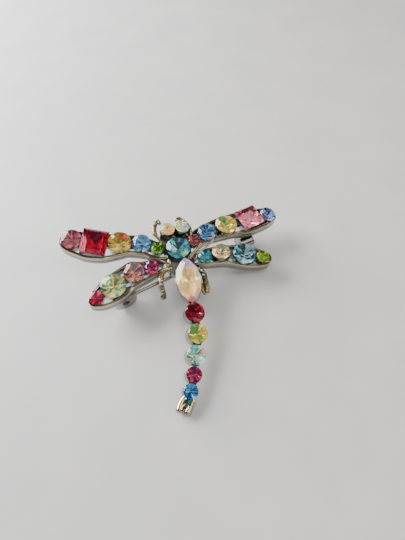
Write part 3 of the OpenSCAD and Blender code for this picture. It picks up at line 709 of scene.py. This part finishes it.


# The white and near-white glints are painted highlights and reflections on the foil
GEMS: tuple[Gem, ...] = (
    Gem("head_stone", "#d8fbfa", ("#2a8f9c", "#1a5f6c", "#7fc4c4", "#0f4450", "#a8dcd4", "#2f7f94"),
        ((178, 46, "#ffffff", True), (85, 70, "#3d4a5c", True), (318, 50, "#c8e4b4", True),
         (345, 20, "#ece8c8"), (265, 40, "#2fa4cc"))),
    Gem("left_eye_stone", "#fff4e0", ("#f4c074", "#f8d48c", "#eca868", "#fbe4b4"),
        ((150, 70, "#bfe9e2"), (215, 50, "#f0f4c0"), (285, 40, "#f4b8a8"), (40, 40, "#ffe8c8", True))),
    Gem("right_eye_stone", "#f8fff4", ("#e8f0dc", "#b8d49a", "#ffffff", "#8fb08a", "#f0eeb0"),
        ((20, 40, "#c9a8e4", True), (320, 50, "#5a6e60"), (110, 40, "#f4f0a0", True))),
    Gem("body_stone", "#fffdf0", ("#f2ca8c", "#efc282", "#f6d69e", "#edc090", "#f3d092"),
        ((150, 60, "#ffffff"), (210, 50, "#c8d8c0"), (250, 36, "#f0c8c4"), (300, 50, "#a8606a"),
         (20, 50, "#a8c8e8"), (90, 40, "#c0b0e8")), cut=Cut.POINTED, shards=0.2),
    Gem("upper_left_stone_1", "#eeffc8", ("#a8c848", "#1c3a0c", "#5f8a24", "#17330c"),
        ((200, 40, "#dfe9a0"), (20, 40, "#17330c", True))),
    Gem("upper_left_stone_2", "#e4f6ff", ("#b4ccd4", "#1c3e6c", "#5fa8cc", "#2a5488"),
        ((262, 30, "#12306a", True), (290, 24, "#e8fbff", True), (225, 24, "#4fc0dd"),
         (80, 60, "#7f94a8", True))),
    Gem("upper_left_stone_3", "#fff8d0", ("#f0d87c", "#7a9468", "#dcb848", "#5f9068"),
        ((60, 26, "#c81f2a"), (110, 50, "#9a7a48", True), (0, 30, "#a84030"), (230, 30, "#f8f0a8", True))),
    Gem("upper_left_stone_4", "#ffb4c8", ("#7e0632", "#520520", "#9c0a3e"),
        ((180, 80, "#ffffff"), (90, 70, "#45061c", True), (250, 60, "#c80c48", True),
         (0, 60, "#8a0834", True)), cut=Cut.SQUARE, shards=0.15),
    Gem("upper_left_stone_5", "#ffe4e6", ("#d48a88", "#54385a", "#c8868c", "#6a3c58"),
        ((60, 30, "#a02858"), (140, 40, "#e8b0b4"), (250, 44, "#e07a68"))),
    Gem("lower_left_stone_1", "#ffd9ea", ("#c84a70", "#4f1a48", "#a03058", "#6a2452"),
        ((110, 90, "#5f2a66", True), (290, 60, "#e84a70"), (215, 26, "#ffd8e8"))),
    Gem("lower_left_stone_2", "#ffece4", ("#d89c80", "#54485a", "#c48468", "#6a5858"),
        ((100, 60, "#6f7f90", True), (20, 40, "#8f86b8"), (265, 30, "#f0b490", True),
         (150, 30, "#c89080", True))),
    Gem("lower_left_stone_3", "#fcfff2", ("#f6dc98", "#2a8478", "#f0cc80", "#4fa898"),
        ((75, 40, "#68746a", True), (265, 36, "#f6dc94", True)), shards=0.45),
    Gem("lower_left_stone_4", "#ffccd8", ("#cc4074", "#5c1038", "#a81c54", "#400a2a"),
        ((60, 40, "#f08aa8"), (120, 40, "#8f3a6a"))),
    Gem("upper_right_stone_1", "#ffe4e2", ("#c88480", "#42242e", "#9c5654", "#301a26"),
        ((150, 30, "#f0c8bc"),)),
    Gem("upper_right_stone_2", "#e0f2ff", ("#a4d0dc", "#1c3868", "#4898c4", "#162c50"),
        ((140, 40, "#8a96a8"), (300, 34, "#d8a888"), (230, 30, "#a8d0f0"))),
    Gem("upper_right_stone_3", "#fffbe0", ("#f6eeac", "#c8a43c", "#f0dc80", "#b89c48"),
        ((115, 50, "#3f9a68", True), (200, 40, "#f6f4d0"), (330, 40, "#c89a30"))),
    Gem("upper_right_stone_4", "#ffe2ea", ("#d87896", "#a84c6e", "#f2b6c0"),
        ((118, 50, "#74283f", True), (298, 50, "#7a2c44", True), (28, 50, "#f4b89c", True),
         (208, 50, "#ffe0e0", True), (75, 30, "#6a3040")), cut=Cut.SQUARE, shards=0.95),
    Gem("upper_right_stone_5", "#e4ecff", ("#c8d4dc", "#24344c", "#8a98a8", "#141e34"),
        ((180, 70, "#7f8c9c", True), (60, 50, "#1f3f7a", True), (300, 60, "#eefaff"), (20, 30, "#7fd0e8"))),
    Gem("lower_right_stone_1", "#d6fbff", ("#84ccc8", "#0c3f4c", "#2c94a0", "#0a303c"),
        ((120, 30, "#bfeeea"),)),
    Gem("lower_right_stone_2", "#fff8ea", ("#f2e6c8", "#8a7450", "#dccaa4", "#a48c60"),
        ((78, 36, "#6fb8a0", True), (200, 40, "#f8f0d8"), (320, 30, "#f4e2b0", True))),
    Gem("lower_right_stone_3", "#e8fcff", ("#b8e4e8", "#1f5068", "#58a4b4", "#142c3c"),
        ((110, 44, "#3a4048", True), (60, 36, "#9a9ca6", True), (265, 50, "#f4fffc", True),
         (305, 40, "#8fe8d8", True), (345, 24, "#26303a", True), (225, 30, "#4fc8cc"))),
    Gem("lower_right_stone_4", "#f6ffc4", ("#ccdc4c", "#1e4410", "#7ca024", "#142e08"),
        ((150, 40, "#e9ecb2"),)),
    Gem("tail_stone_1", "#ffb4c8", ("#b01044", "#4f0424", "#8e0838", "#3f041c"),
        ((95, 60, "#3a0a1c", True), (300, 26, "#e0405f")), shards=0.45),
    Gem("tail_stone_2", "#fff8d8", ("#f2dc80", "#6a9a60", "#e4c450", "#5f8f5c"),
        ((120, 84, "#4f8a68", True), (15, 60, "#e4cc5c"), (262, 50, "#f4dc70"))),
    Gem("tail_stone_3", "#f6ffff", ("#f4ecd4", "#34848a", "#ecd0a0", "#6fbab4"),
        ((100, 60, "#5fb0ac", True), (320, 36, "#ffffff", True), (30, 30, "#f0b890"))),
    Gem("tail_stone_4", "#ffd4e2", ("#c84078", "#5a1044", "#a01a54", "#4a1040"),
        ((90, 60, "#6a2858", True),)),
    Gem("tail_stone_5", "#dceeff", ("#78b8cc", "#1c4a70", "#3f8cac", "#14304f"),
        ((110, 90, "#4f98a8", True), (312, 26, "#ffffff"), (262, 60, "#1c3f86", True))),
)


def through(points: list[Vector], steps: int, closed: bool) -> list[Vector]:
    """Draws a smooth curve through points.

    Args:
        points: the points.
        steps: number of stretches between two points.
        closed: whether the curve comes back to its start.

    Returns:
        The points of the curve.
    """
    before, after = (points[-1:], points[:2]) if closed else (points[:1], points[-1:])
    row = before + points + after
    curve = []
    for a, b, c, d in zip(row, row[1:], row[2:], row[3:]):
        bend, twist = 2 * a - 5 * b + 4 * c - d, 3 * b - a - 3 * c + d
        for s in range(steps):
            t = s / steps
            curve.append(0.5 * (2 * b + (c - a) * t + bend * t * t + twist * t * t * t))
    return curve if closed else curve + [points[-1].copy()]


@dataclass(frozen=True)
class Wing:
    """A wing of the brooch.

    Attributes:
        name: its name.
        outline: number of a stone in the wing, or -1 for the head, direction from its centre in
            degrees and distance from its edge, counter-clockwise round the wing's wall.
    """

    name: str
    outline: tuple[tuple[int, float, float], ...]


WINGS: tuple[Wing, ...] = (
    Wing("upper_left", (
        (-1, 160, 0.7), (0, 90, 0.6), (1, 90, 0.1), (2, 60, 0.2), (2, 105, -0.1), (3, 80, 0.1),
        (3, 105, 0.1), (4, 60, 0.7), (4, 110, 0.5), (4, 154, 0.55), (4, 194, 0.75), (4, 241, 0.5),
        (4, 288, 1.6), (3, 243, 1.4), (3, 292, 1.45), (2, 250, 1.15), (2, 285, 0.15), (2, 316, 0.7),
        (1, 288, 0.7), (0, 270, 1.1), (-1, 226, 0.8), (-1, 196, 0.2),
    )),
    Wing("lower_left", (
        (0, 75, 0.9), (1, 68, 1.1), (1, 110, 0.9), (1, 148, 1.1), (2, 102, 0.9), (2, 139, 0.4),
        (2, 176, 1), (3, 140, 0.5), (3, 190, 0.3), (3, 228, 0.4), (3, 266, 0.35), (3, 318, 1.1),
        (2, 283, 1.1), (2, 322, 1), (1, 280, 1.2), (1, 325, 0.9), (0, 300, 0.1), (-1, 241, 3.8),
        (-1, 233, 2.3),
    )),
    Wing("upper_right", (
        (-1, 312, 0.8), (0, 285, 1.2), (0, 350, 0.7), (1, 333, 0.5), (2, 262, 0.45), (2, 309, 0.3),
        (2, 333, 2), (3, 279, 1), (3, 324, 1.3), (4, 290, 0.35), (4, 345, 0.3), (4, 40, 0.3),
        (4, 90, 0.2), (3, 112, -0.2), (2, 115, 0.2), (1, 130, 0.2), (0, 130, 0.4),
    )),
    Wing("lower_right", (
        (-1, 300, 2.6), (0, 240, 0.5), (0, 300, 0.45), (1, 291, 0.8), (2, 231, 0.9), (2, 293, 0.7),
        (3, 270, 0.7), (3, 320, 0.7), (3, 5, 0.8), (3, 55, 0.5), (2, 60, 0.3), (2, 107, 0.3),
        (1, 51, 0.7), (1, 92, 0.3), (1, 145, 0.4), (0, 120, 0.8), (-1, 328, 0.8),
    )),
)


@dataclass(frozen=True)
class Wire:
    """A wire or rib beside the head.

    Attributes:
        name: the piece's name.
        width: its full width, in millimetres.
        path: direction from the head's centre in degrees, distance from its edge, height
            over the brooch's plane, and width as a share of the full one.
        beads: half beads from one point of the path to the next.
        waist: width between two beads, as a share of a bead's.
        grain: unevenness of the beads, as a share of their width.
        smooth: largest angle that is shaded smooth, in degrees.
        gilt_and_highlight: gilding of the worn spots; on a beaded wire its random specks are partly painted
            glints, and on a smooth casting it is a painted highlight along its top.
        patina_and_shade: blackening between the beads, or painted shade low on the sides of a smooth casting.
        verdigris_and_teal_reflection: how green that blackening is; on the feelers, legs and tail fork this
            green is a painted teal reflection.
        shaded_side: 1 to paint shade on a smooth casting's left side alone, -1 on its right one, 0 on both.
    """

    name: str
    width: float
    path: tuple[tuple[float, float, float, float], ...]
    beads: int = 4
    waist: float = 1.0
    grain: float = 0.0
    smooth: float = 60.0
    gilt_and_highlight: float = 0.3
    patina_and_shade: float = 0.7
    verdigris_and_teal_reflection: float = 0.0
    shaded_side: int = 0


# What several wires share
BEADED = {"waist": 0.8, "grain": 0.14, "smooth": 20, "gilt_and_highlight": 0.9}
# The green given to the feelers, legs, tail fork and web is a painted teal reflection
FEELER = {"waist": 0.82, "grain": 0.1, "smooth": 20, "gilt_and_highlight": 0.8, "patina_and_shade": 0.8, "verdigris_and_teal_reflection": 0.35}
# On the fork's prongs the blackening is painted shade on one side
FORK = {"patina_and_shade": 1.2, "verdigris_and_teal_reflection": 0.7}
BROW = {"gilt_and_highlight": 0.5, "patina_and_shade": 0.3}

WIRES: tuple[Wire, ...] = (
    Wire("left_leg", 1.8,
         ((244, 1.9, -2, 0.85), (241, 4.6, -1.6, 0.95), (243, 6.9, -1.4, 0.95), (250, 9.2, -1.5, 0.95),
          (254.7, 10.8, -2, 1), (256.9, 12.4, -2.5, 1.05)), 5, patina_and_shade=0.9, verdigris_and_teal_reflection=0.35, **BEADED),
    Wire("right_leg", 1.8,
         ((312, 2.6, -2, 0.85), (316.8, 6.3, -1.6, 0.9), (309.5, 9.2, -1.5, 0.95), (306, 10.9, -1.7, 1),
          (302.6, 12.1, -2.3, 1.05)), 6, patina_and_shade=0.9, verdigris_and_teal_reflection=0.35, **BEADED),
    Wire("right_leg_prong", 0.8,
         ((301, 12.41, -2, 1), (300.1, 11.42, -1.9, 1), (301.6, 10.33, -1.7, 1),
          (304.9, 9.1, -1.6, 0.7)), waist=0.9, grain=0.1, smooth=30, gilt_and_highlight=0.6, patina_and_shade=0.6),
    Wire("left_feeler", 1.28,
         ((190, 0.5, -1.8, 0.6), (165, 1.3, -1, 0.6), (152, 3.5, -0.3, 0.75), (149, 4.7, 0.2, 1.15),
          (141, 5.9, 0.6, 1.2), (133, 6.6, 1, 1.15), (129, 6.6, 1.2, 1), (128.5, 5.3, 1.2, 0.9)), **FEELER),
    Wire("right_feeler", 1.28,
         ((40, 1.6, -1.8, 0.6), (56, 2.9, -0.6, 0.7), (66, 4.5, -0.3, 0.8), (82, 5.9, 0, 0.9),
          (92, 6.5, 0.2, 0.9), (98, 5.6, 0.3, 0.8)), **FEELER),
    Wire("right_root_rib_1", 0.62,
         ((18, 5.78, -1, 0.7), (10.7, 3.66, -1, 1), (357.3, 1.64, -1.1, 1), (331.6, 0.38, -1.5, 0.7))),
    Wire("right_root_rib_2", 0.62,
         ((13.9, 6.35, -1, 0.7), (4.3, 4.14, -1, 1), (348.9, 2.18, -1.1, 1), (323.3, 1.14, -1.5, 0.7))),
    Wire("right_root_rib_3", 0.7,
         ((359.4, 4.56, -1, 0.6), (347.6, 2.96, -1.1, 1), (326, 1.86, -1.5, 0.7))),
    Wire("right_root_rib_4", 0.7,
         ((348.3, 3.54, -1.1, 0.6), (336.9, 2.74, -1.3, 1), (321.5, 2.38, -1.6, 0.7))),
    Wire("left_root_rib_1", 0.7,
         ((200.4, 5.68, -1, 0.7), (209.7, 3.75, -1, 1), (224.6, 2.49, -1.1, 1), (239.8, 2.07, -1.4, 0.6))),
    Wire("left_root_rib_2", 0.6,
         ((213.8, 4.04, -1.2, 0.6), (223.8, 3.18, -1.2, 1), (235.8, 2.49, -1.5, 0.6))),
    Wire("left_root_rib_3", 0.7,
         ((200, 0.5, -1.9, 0.6), (222, 0.5, -1.7, 1), (246, 0.9, -1.8, 0.6))),
    Wire("left_leg_root", 1.1,
         ((239.3, 5.02, -1.6, 0.6), (245.4, 3.73, -1.3, 1),
          (255.9, 2.42, -1.6, 0.9)), 3, patina_and_shade=0.8, **BEADED),
    Wire("chest_leaf", 1.3,
         ((226, 0.6, -1.7, 0.4), (236, 1.0, -1.4, 1), (243, 1.6, -1.3, 0.9),
          (248, 2.3, -1.8, 0.3)), gilt_and_highlight=1.0, patina_and_shade=0.0),
    Wire("tail_prong_left", 2.0,
         ((275.2, 37.9, -1.5, 0.8), (273.6, 38.76, -1.5, 0.9), (272.5, 39.91, -1.5, 0.8),
          (272.0, 41.19, -1.62, 0.99), (271.8, 41.92, -1.62, 0.99)), gilt_and_highlight=0.9, shaded_side=-1, **FORK),
    Wire("tail_prong_right", 2.0,
         ((275.7, 38.03, -1.5, 0.8), (276.3, 39.13, -1.5, 0.85), (275.7, 40.57, -1.5, 0.75),
          (274.5, 41.87, -1.62, 0.99), (274.0, 42.58, -1.62, 0.99)), gilt_and_highlight=0.7, shaded_side=1, **FORK),
    Wire("tail_web", 2.0,
         ((275.3, 38.01, -1.1, 0.9), (275, 39.14, -1.1, 1.2),
          (274.3, 40.3, -1.4, 0.7)), grain=0.01, gilt_and_highlight=0.0, patina_and_shade=9.0, verdigris_and_teal_reflection=1.0),
    Wire("left_brow_rib", 0.6,
         ((139.3, 2.38, -0.8, 0.7), (131.7, 1.18, -0.55, 1), (112.1, 0.89, -0.55, 1),
          (96.8, 0.2, -0.8, 0.7)), **BROW),
    Wire("right_brow_rib", 0.6,
         ((96.7, 0.96, -0.8, 0.7), (82.4, 1.88, -0.55, 1), (68.4, 2.2, -0.55, 1),
          (55.7, 1.74, -0.8, 0.7)), **BROW),
)

# Across a wing's wall from its outer foot to its inner one: distance out from the outline,
# height over the stones' edges, and gilding and patina of the face that follows. The gilding on
# the outer ridge's top is partly worn gilding and partly a painted highlight, and the outer wall
# is darker below its groove
RIM_PROFILE: tuple[tuple[float, float, float, float], ...] = (
    (0.02, -3.84, 0.1, 0.5), (0.05, -3.5, 0.1, 0.3), (0.06, -2.62, 0.0, 0.5), (0.0, -2.52, 0.1, 1.0),
    (0.0, -2.36, 0.0, 0.4), (0.06, -2.26, 0.0, 0.15), (0.07, -1.5, 0.1, 0.0), (0.07, -1.25, 0.5, 0.0),
    (0.05, -1.02, 0.8, 0.0), (-0.03, -0.85, 0.8, 0.0), (-0.14, -0.78, 0.5, 0.1), (-0.26, -0.82, 0.2, 0.6),
    (-0.33, -0.93, 0.0, 1.0), (-0.375, -0.98, 0.0, 1.0), (-0.42, -0.93, 0.0, 0.6), (-0.49, -0.82, 0.2, 0.1),
    (-0.61, -0.78, 0.2, 0.2), (-0.72, -0.85, 0.1, 0.6), (-0.8, -1.02, 0.0, 0.9), (-0.82, -1.3, 0.0, 0.9),
    (-0.81, -2.2, 0.0, 0.9), (-0.8, -3.4, 0.0, 0.9), (-0.77, -3.84, 0.0, 0.5),
)


@dataclass(frozen=True)
class Metalwork:
    """The castings that are finer than the solids: rims, ribs, wires and the tail's fork.

    Attributes:
        plane: the brooch's plane.
        seats: where each stone sits, by node.
        metal: the material of the castings.
        rim_steps: steps of a rim from one point of its outline to the next.
        wire_sides, bead_rings: sides of a wire and rings of half a bead.
        bead_bulge: how full the beads are; less is fuller.
        bead_patina: share of a wire's patina on a bead, how much more there is on its waist,
            and how much less on a grain that stands out.
        blunt: distance from a wire's end to its first ring, as a share of the radius.
        clearance: distance that the metal keeps from the stones, in millimetres.
        crease: largest angle of a rim that is shaded smooth, in degrees.
    """

    plane: Plane
    seats: dict[str, Seat]
    metal: bpy.types.Material
    rim_steps: int = 8
    wire_sides: int = 14
    bead_rings: int = 4
    bead_bulge: float = 0.8
    bead_patina: tuple[float, float, float] = (0.2, 1.3, 2.5)
    blunt: float = 0.15
    clearance: float = 0.05
    crease: float = 50

    def beside(self, node: str, direction: float, away: float, height: float = 0.0) -> Vector:
        """Gives a place beside a stone.

        Args:
            node: the stone.
            direction: direction from its centre, in degrees.
            away: distance from its edge.
            height: height over the brooch's plane.

        Returns:
            The place in the brooch's plane.
        """
        seat = self.seats[node]
        centre = self.plane.into(seat.centre)
        a = math.radians(direction)
        reach = seat.width / 2 + away
        return Vector((centre.x + math.cos(a) * reach, centre.y + math.sin(a) * reach, height))

    def clear(self, p: Vector) -> Vector:
        """Moves a point of the metal out of the stones' way.

        Args:
            p: the point in the brooch's plane.

        Returns:
            Its new place in the brooch's plane.
        """
        q = self.plane.out(p)
        for seat in self.seats.values():
            q = seat.sink(q, self.clearance)
        return self.plane.into(q)

    def skin(self, name: str, rings: list[Ring], tones: list[list[Colour]], closed: bool,
             smooth: float) -> None:
        """Lays a metal piece over rings of points.

        Args:
            name: the piece's name.
            rings: the rings in the brooch's plane, each counter-clockwise against the path's way.
            tones: colour of the faces that follow each ring.
            closed: whether the last ring meets the first one; otherwise both ends are capped.
            smooth: largest angle that is shaded smooth, in degrees.
        """
        mesh = Mesh()
        for ring in rings:
            mesh.points.extend(self.plane.out(p) for p in ring)
        sides, size = len(rings[0]), len(mesh.points)
        for i in range(0, size if closed else size - sides, sides):
            after = (i + sides) % size
            for k, tone in enumerate(tones[i // sides]):
                n = (k + 1) % sides
                mesh.add((i + k, i + n, after + n, after + k), 0, tone)
        if not closed:
            mesh.add(tuple(reversed(range(sides))))
            mesh.add(tuple(range(size - sides, size)))
        piece = mesh.build(name, [self.metal], "brooch", smooth)

    def rim(self, wing: Wing) -> None:
        """Sweeps a wing's wall with its two ridges and the groove between them.

        Args:
            wing: the wing.
        """
        outline = []
        for stone, direction, away in wing.outline:
            node = "head_stone" if stone < 0 else f"{wing.name}_stone_{stone + 1}"
            outline.append(self.beside(node, direction, away))
        path = through(outline, self.rim_steps, True)
        rings = []
        for i, p in enumerate(path):
            along = path[(i + 1) % len(path)] - path[i - 1]
            outward = Vector((along.y, -along.x, 0)).normalized()
            rings.append([self.clear(p + outward * away + UP * height) for away, height, _, _ in RIM_PROFILE])
        # The gilding on the ridge tops is partly a painted highlight
        tones = [(gilt_and_highlight, patina_and_shade, 0.0, 1.0) for _, _, gilt_and_highlight, patina_and_shade in RIM_PROFILE]
        self.skin(f"{wing.name}_rim", rings, [tones] * len(rings), True, self.crease)

    def wire(self, wire: Wire) -> None:
        """Draws a wire, beaded where its waist is below 1.

        Args:
            wire: the wire.
        """
        dice = random.Random(wire.name)
        steps = wire.beads * self.bead_rings
        path = through([self.beside("head_stone", *row[:3]) for row in wire.path], steps, False)
        girth = through([Vector((row[3], 0, 0)) for row in wire.path], steps, False)
        run = [0.0]
        for a, b in zip(path, path[1:]):
            run.append(run[-1] + (b - a).length)
        last = len(path) - 1
        even, waist, proud = self.bead_patina
        rings, tones = [], []
        for i, p in enumerate(path):
            way = (path[min(i + 1, last)] - path[max(i - 1, 0)]).normalized()
            aside = way.cross(UP).normalized()
            up = aside.cross(way)
            bead = abs(math.cos(math.pi * i / self.bead_rings / 2)) ** self.bead_bulge
            swell = wire.waist + (1 - wire.waist) * bead
            r = wire.width / 2 * girth[i].x * swell
            # Both ends are round
            near = min(1.0, self.blunt + min(run[i], run[last] - run[i]) / r)
            r *= math.sqrt(1 - (1 - near) ** 2)
            ring, tone = [], []
            for k in range(self.wire_sides):
                a = 2 * math.pi * k / self.wire_sides
                # The grains of a beaded wire are never quite alike
                grain = dice.uniform(-wire.grain, wire.grain)
                ring.append(self.clear(p + (aside * math.cos(a) + up * math.sin(a)) * r * (1 + grain)))
                a += math.pi / self.wire_sides
                # On a smooth casting the gilding is a painted highlight on the faces that look up, and the
                # blackening is painted shade on the others or on one side
                top = max(0.0, math.sin(a))
                side = wire.shaded_side * math.cos(a) if wire.shaded_side else 1 - top
                if wire.grain:
                    # On a beaded wire the gilding falls on random specks, which are partly painted glints,
                    # and the patina gathers in the waists
                    gilt_and_highlight = dice.choice((0.0, wire.gilt_and_highlight, wire.gilt_and_highlight))
                    patina_and_shade = wire.patina_and_shade * (even + waist * (1 - bead) - proud * grain)
                else:
                    gilt_and_highlight, patina_and_shade = wire.gilt_and_highlight * top, wire.patina_and_shade * side
                tone.append((gilt_and_highlight, min(1.0, max(0.0, patina_and_shade)), wire.verdigris_and_teal_reflection, 1.0))
            rings.append(ring)
            tones.append(tone)
        self.skin(wire.name, rings, tones, False, wire.smooth)


# Name of each soft box, where it stands as seen from the brooch, its distance, width and
# height in metres, its brightness and its sRGB colour
LAMPS = (
    ("Window", (-0.73, 0.46, 0.36), 0.42, (0.34, 0.3), 19.0, "#fbfbff"),
    ("Ceiling", (0.3, -0.1, 1.0), 0.5, (0.3, 0.2), 3.2, "#ffffff"),
    ("Right", (0.9, -0.1, 0.5), 0.45, (0.12, 0.3), 5.0, "#fff3e6"),
    ("Front", (0.1, -1.0, 0.45), 0.5, (0.4, 0.12), 2.0, "#eef2ff"),
)


@dataclass(frozen=True)
class Studio:
    """The pale floor, the lights and the camera, whose place follows from the photo's perspective.

    Attributes:
        floor_side: side of the floor, in metres.
        aim, distance: what the camera looks at, and its distance from that, in millimetres.
        elevation, azimuth, roll: its angles, in degrees.
        sensor, lens: width of its picture and its focal length, in millimetres.
    """

    floor_side: float = 6.0
    aim: tuple[float, float, float] = (9.0, 12.94, 0.0)
    distance: float = 127.23
    elevation: float = 55.04
    azimuth: float = 2.23
    roll: float = -3.01
    sensor: float = 36.0
    lens: float = 415 / 540 * 36

    def build(self) -> None:
        """Builds the studio."""
        self.floor()
        self.world()
        self.lamps()
        self.camera()

    def floor(self) -> None:
        """Lays the pale floor."""
        h = self.floor_side / 2
        mesh = bpy.data.meshes.new("floor")
        mesh.from_pydata([(-h, -h, 0), (h, -h, 0), (h, h, 0), (-h, h, 0)], [], [(0, 1, 2, 3)])
        # Matt paper has a faint mottle
        nodes = Nodes(bpy.data.materials.new("Pale paper"))
        mottle = nodes.texture("TexNoise", 20, Detail=3.0)["Fac"]
        tone = nodes.ramp(mottle, (0.3, "#dbd9d6"), (0.7, "#e4e2de"))
        mesh.materials.append(nodes.shade("BsdfPrincipled", {"Roughness": 0.6, "Base Color": tone}))
        floor = put("floor", mesh)

    def world(self) -> None:
        """Fills the room around with a dim grey that brightens towards the top."""
        nodes = Nodes(bpy.data.worlds.new("Room"))
        height = nodes.add("SeparateXYZ", {0: nodes.add("TexCoord")["Generated"]})["Z"]
        tone = nodes.ramp(height, (0.0, "#3a3a3c"), (0.35, "#707070"), (1.0, "#929290"))
        light = nodes.add("Background", {"Strength": 1.0, "Color": tone})[0]
        nodes.add("OutputWorld", {"Surface": light})
        bpy.context.scene.world = nodes.owner

    def lamps(self) -> None:
        """Adds the soft boxes, which shine at the brooch."""
        for name, way, distance, (wide, high), radiance, colour in LAMPS:
            data = bpy.data.lights.new(name, "AREA")
            data.shape = "RECTANGLE"
            data.size, data.size_y = wide, high
            data.energy = radiance * wide * high * math.pi
            data.color = linear(colour)[:3]
            lamp = put(name, data)
            direction = Vector(way).normalized()
            lamp.location = direction * distance
            lamp.rotation_euler = direction.to_track_quat("Z", "Y").to_euler()

    def camera(self) -> None:
        """Sets the camera."""
        data = bpy.data.cameras.new("Camera")
        data.lens = self.lens
        data.sensor_width = self.sensor
        data.clip_start = 1 * MM
        camera = put("Camera", data)
        e, a = math.radians(self.elevation), math.radians(self.azimuth)
        back = Vector((math.sin(a) * math.cos(e), -math.cos(a) * math.cos(e), math.sin(e)))
        turn = Matrix.Rotation(math.radians(self.roll), 3, back)
        right = turn @ UP.cross(back).normalized()
        pose = Matrix((right, back.cross(right), back)).transposed().to_4x4()
        pose.translation = Vector(self.aim) * MM + back * (self.distance * MM)
        camera.matrix_world = pose
        bpy.context.scene.camera = camera


@dataclass
class CastingSmoother:
    """Shades the CAD's round walls smooth without touching their mesh.

    Attributes:
        weld_mm: distance within which corners are one.
        crease: largest angle that is shaded smooth, in degrees.
    """

    weld_mm: float = 0.001
    crease: float = 32

    def __post_init__(self) -> None:
        """Builds the node group that the modifiers share."""
        self.tree = bpy.data.node_groups.new("Smooth casting", "GeometryNodeTree")
        for way in ("INPUT", "OUTPUT"):
            self.tree.interface.new_socket("Geometry", in_out=way, socket_type="NodeSocketGeometry")
        nodes = Nodes(self.tree)
        entry = nodes.add("NodeGroupInput")[0]
        near = {"Geometry": entry, "Distance": self.weld_mm * MM}
        weld = nodes.add("GeometryNodeMergeByDistance", near)[0]
        smooth = nodes.add("GeometryNodeSetShadeSmooth", {"Geometry": weld})[0]
        angle = nodes.add("GeometryNodeInputMeshEdgeAngle")["Unsigned Angle"]
        sharper = {"data_type": "FLOAT", "operation": "GREATER_THAN", 0: angle, 1: math.radians(self.crease)}
        sharp = nodes.add("FunctionNodeCompare", sharper)[0]
        kept = {"domain": "EDGE", "Geometry": smooth, "Selection": sharp, "Shade Smooth": False}
        nodes.add("NodeGroupOutput", {0: nodes.add("GeometryNodeSetShadeSmooth", kept)[0]})

    def use(self, node: str, material: bpy.types.Material) -> None:
        """Dresses a CAD node.

        Args:
            node: the node's name.
            material: its finish.
        """
        piece = frame["nodes"][node]
        piece.data.materials.clear()
        piece.data.materials.append(material)
        piece.modifiers.new("Smooth casting", "NODES").node_group = self.tree
        log.info("%s: CAD solid, %s", node, material.name)


METAL = MetalFinish(
    "Antiqued silver plate", bright="#a9a69f", patina_and_shade="#3d372e", verdigris_and_teal_reflection="#4a7a6e",
    roughness=(0.11, 0.27), grain_mm=0.5, bump=0.25, edge_mm=0.09, recess_mm=1.5,
)
STEEL = MetalFinish(
    "Polished steel wire", bright="#a39d92", patina_and_shade="#4a4744", verdigris_and_teal_reflection="#6a6a62",
    roughness=(0.2, 0.34), grain_mm=0.4, bump=0.12, edge_mm=0.06, recess_mm=0.8,
)
DULL = MetalFinish(
    "Blackened steel", bright="#4a524e", patina_and_shade="#1f1c17", verdigris_and_teal_reflection="#26403a",
    roughness=(0.2, 0.34), grain_mm=0.3, bump=0.2, edge_mm=0.06, recess_mm=0.8,
)
FOIL = FoilFinish("Mirror foil", metallic=0.8, roughness=0.06, shard_mm=0.85, glow=0.42)


def main() -> None:
    """Dresses the brooch and sets up the studio."""
    record = frame["record"]
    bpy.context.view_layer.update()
    seats = {gem.node: Seat.of(gem.node, gem.cut) for gem in GEMS}
    plane = Plane(record, seats["body_stone"].centre)
    metal, steel, dull, foil = (finish.build() for finish in (METAL, STEEL, DULL, FOIL))
    smoother = CastingSmoother()
    smoother.use("frame", metal)
    smoother.use("rivet", dull)
    smoother.use("pin_stem", steel)
    slots = {part["node"]: part["material_slot"] for part in record["subparts"]}
    for gem in GEMS:
        StoneCutter(gem, seats[gem.node]).cut(foil, slots[gem.node])
    work = Metalwork(plane, seats, metal)
    for wing in WINGS:
        work.rim(wing)
    for wire in WIRES:
        work.wire(wire)
    Studio().build()


if __name__ == "__main__":
    main()
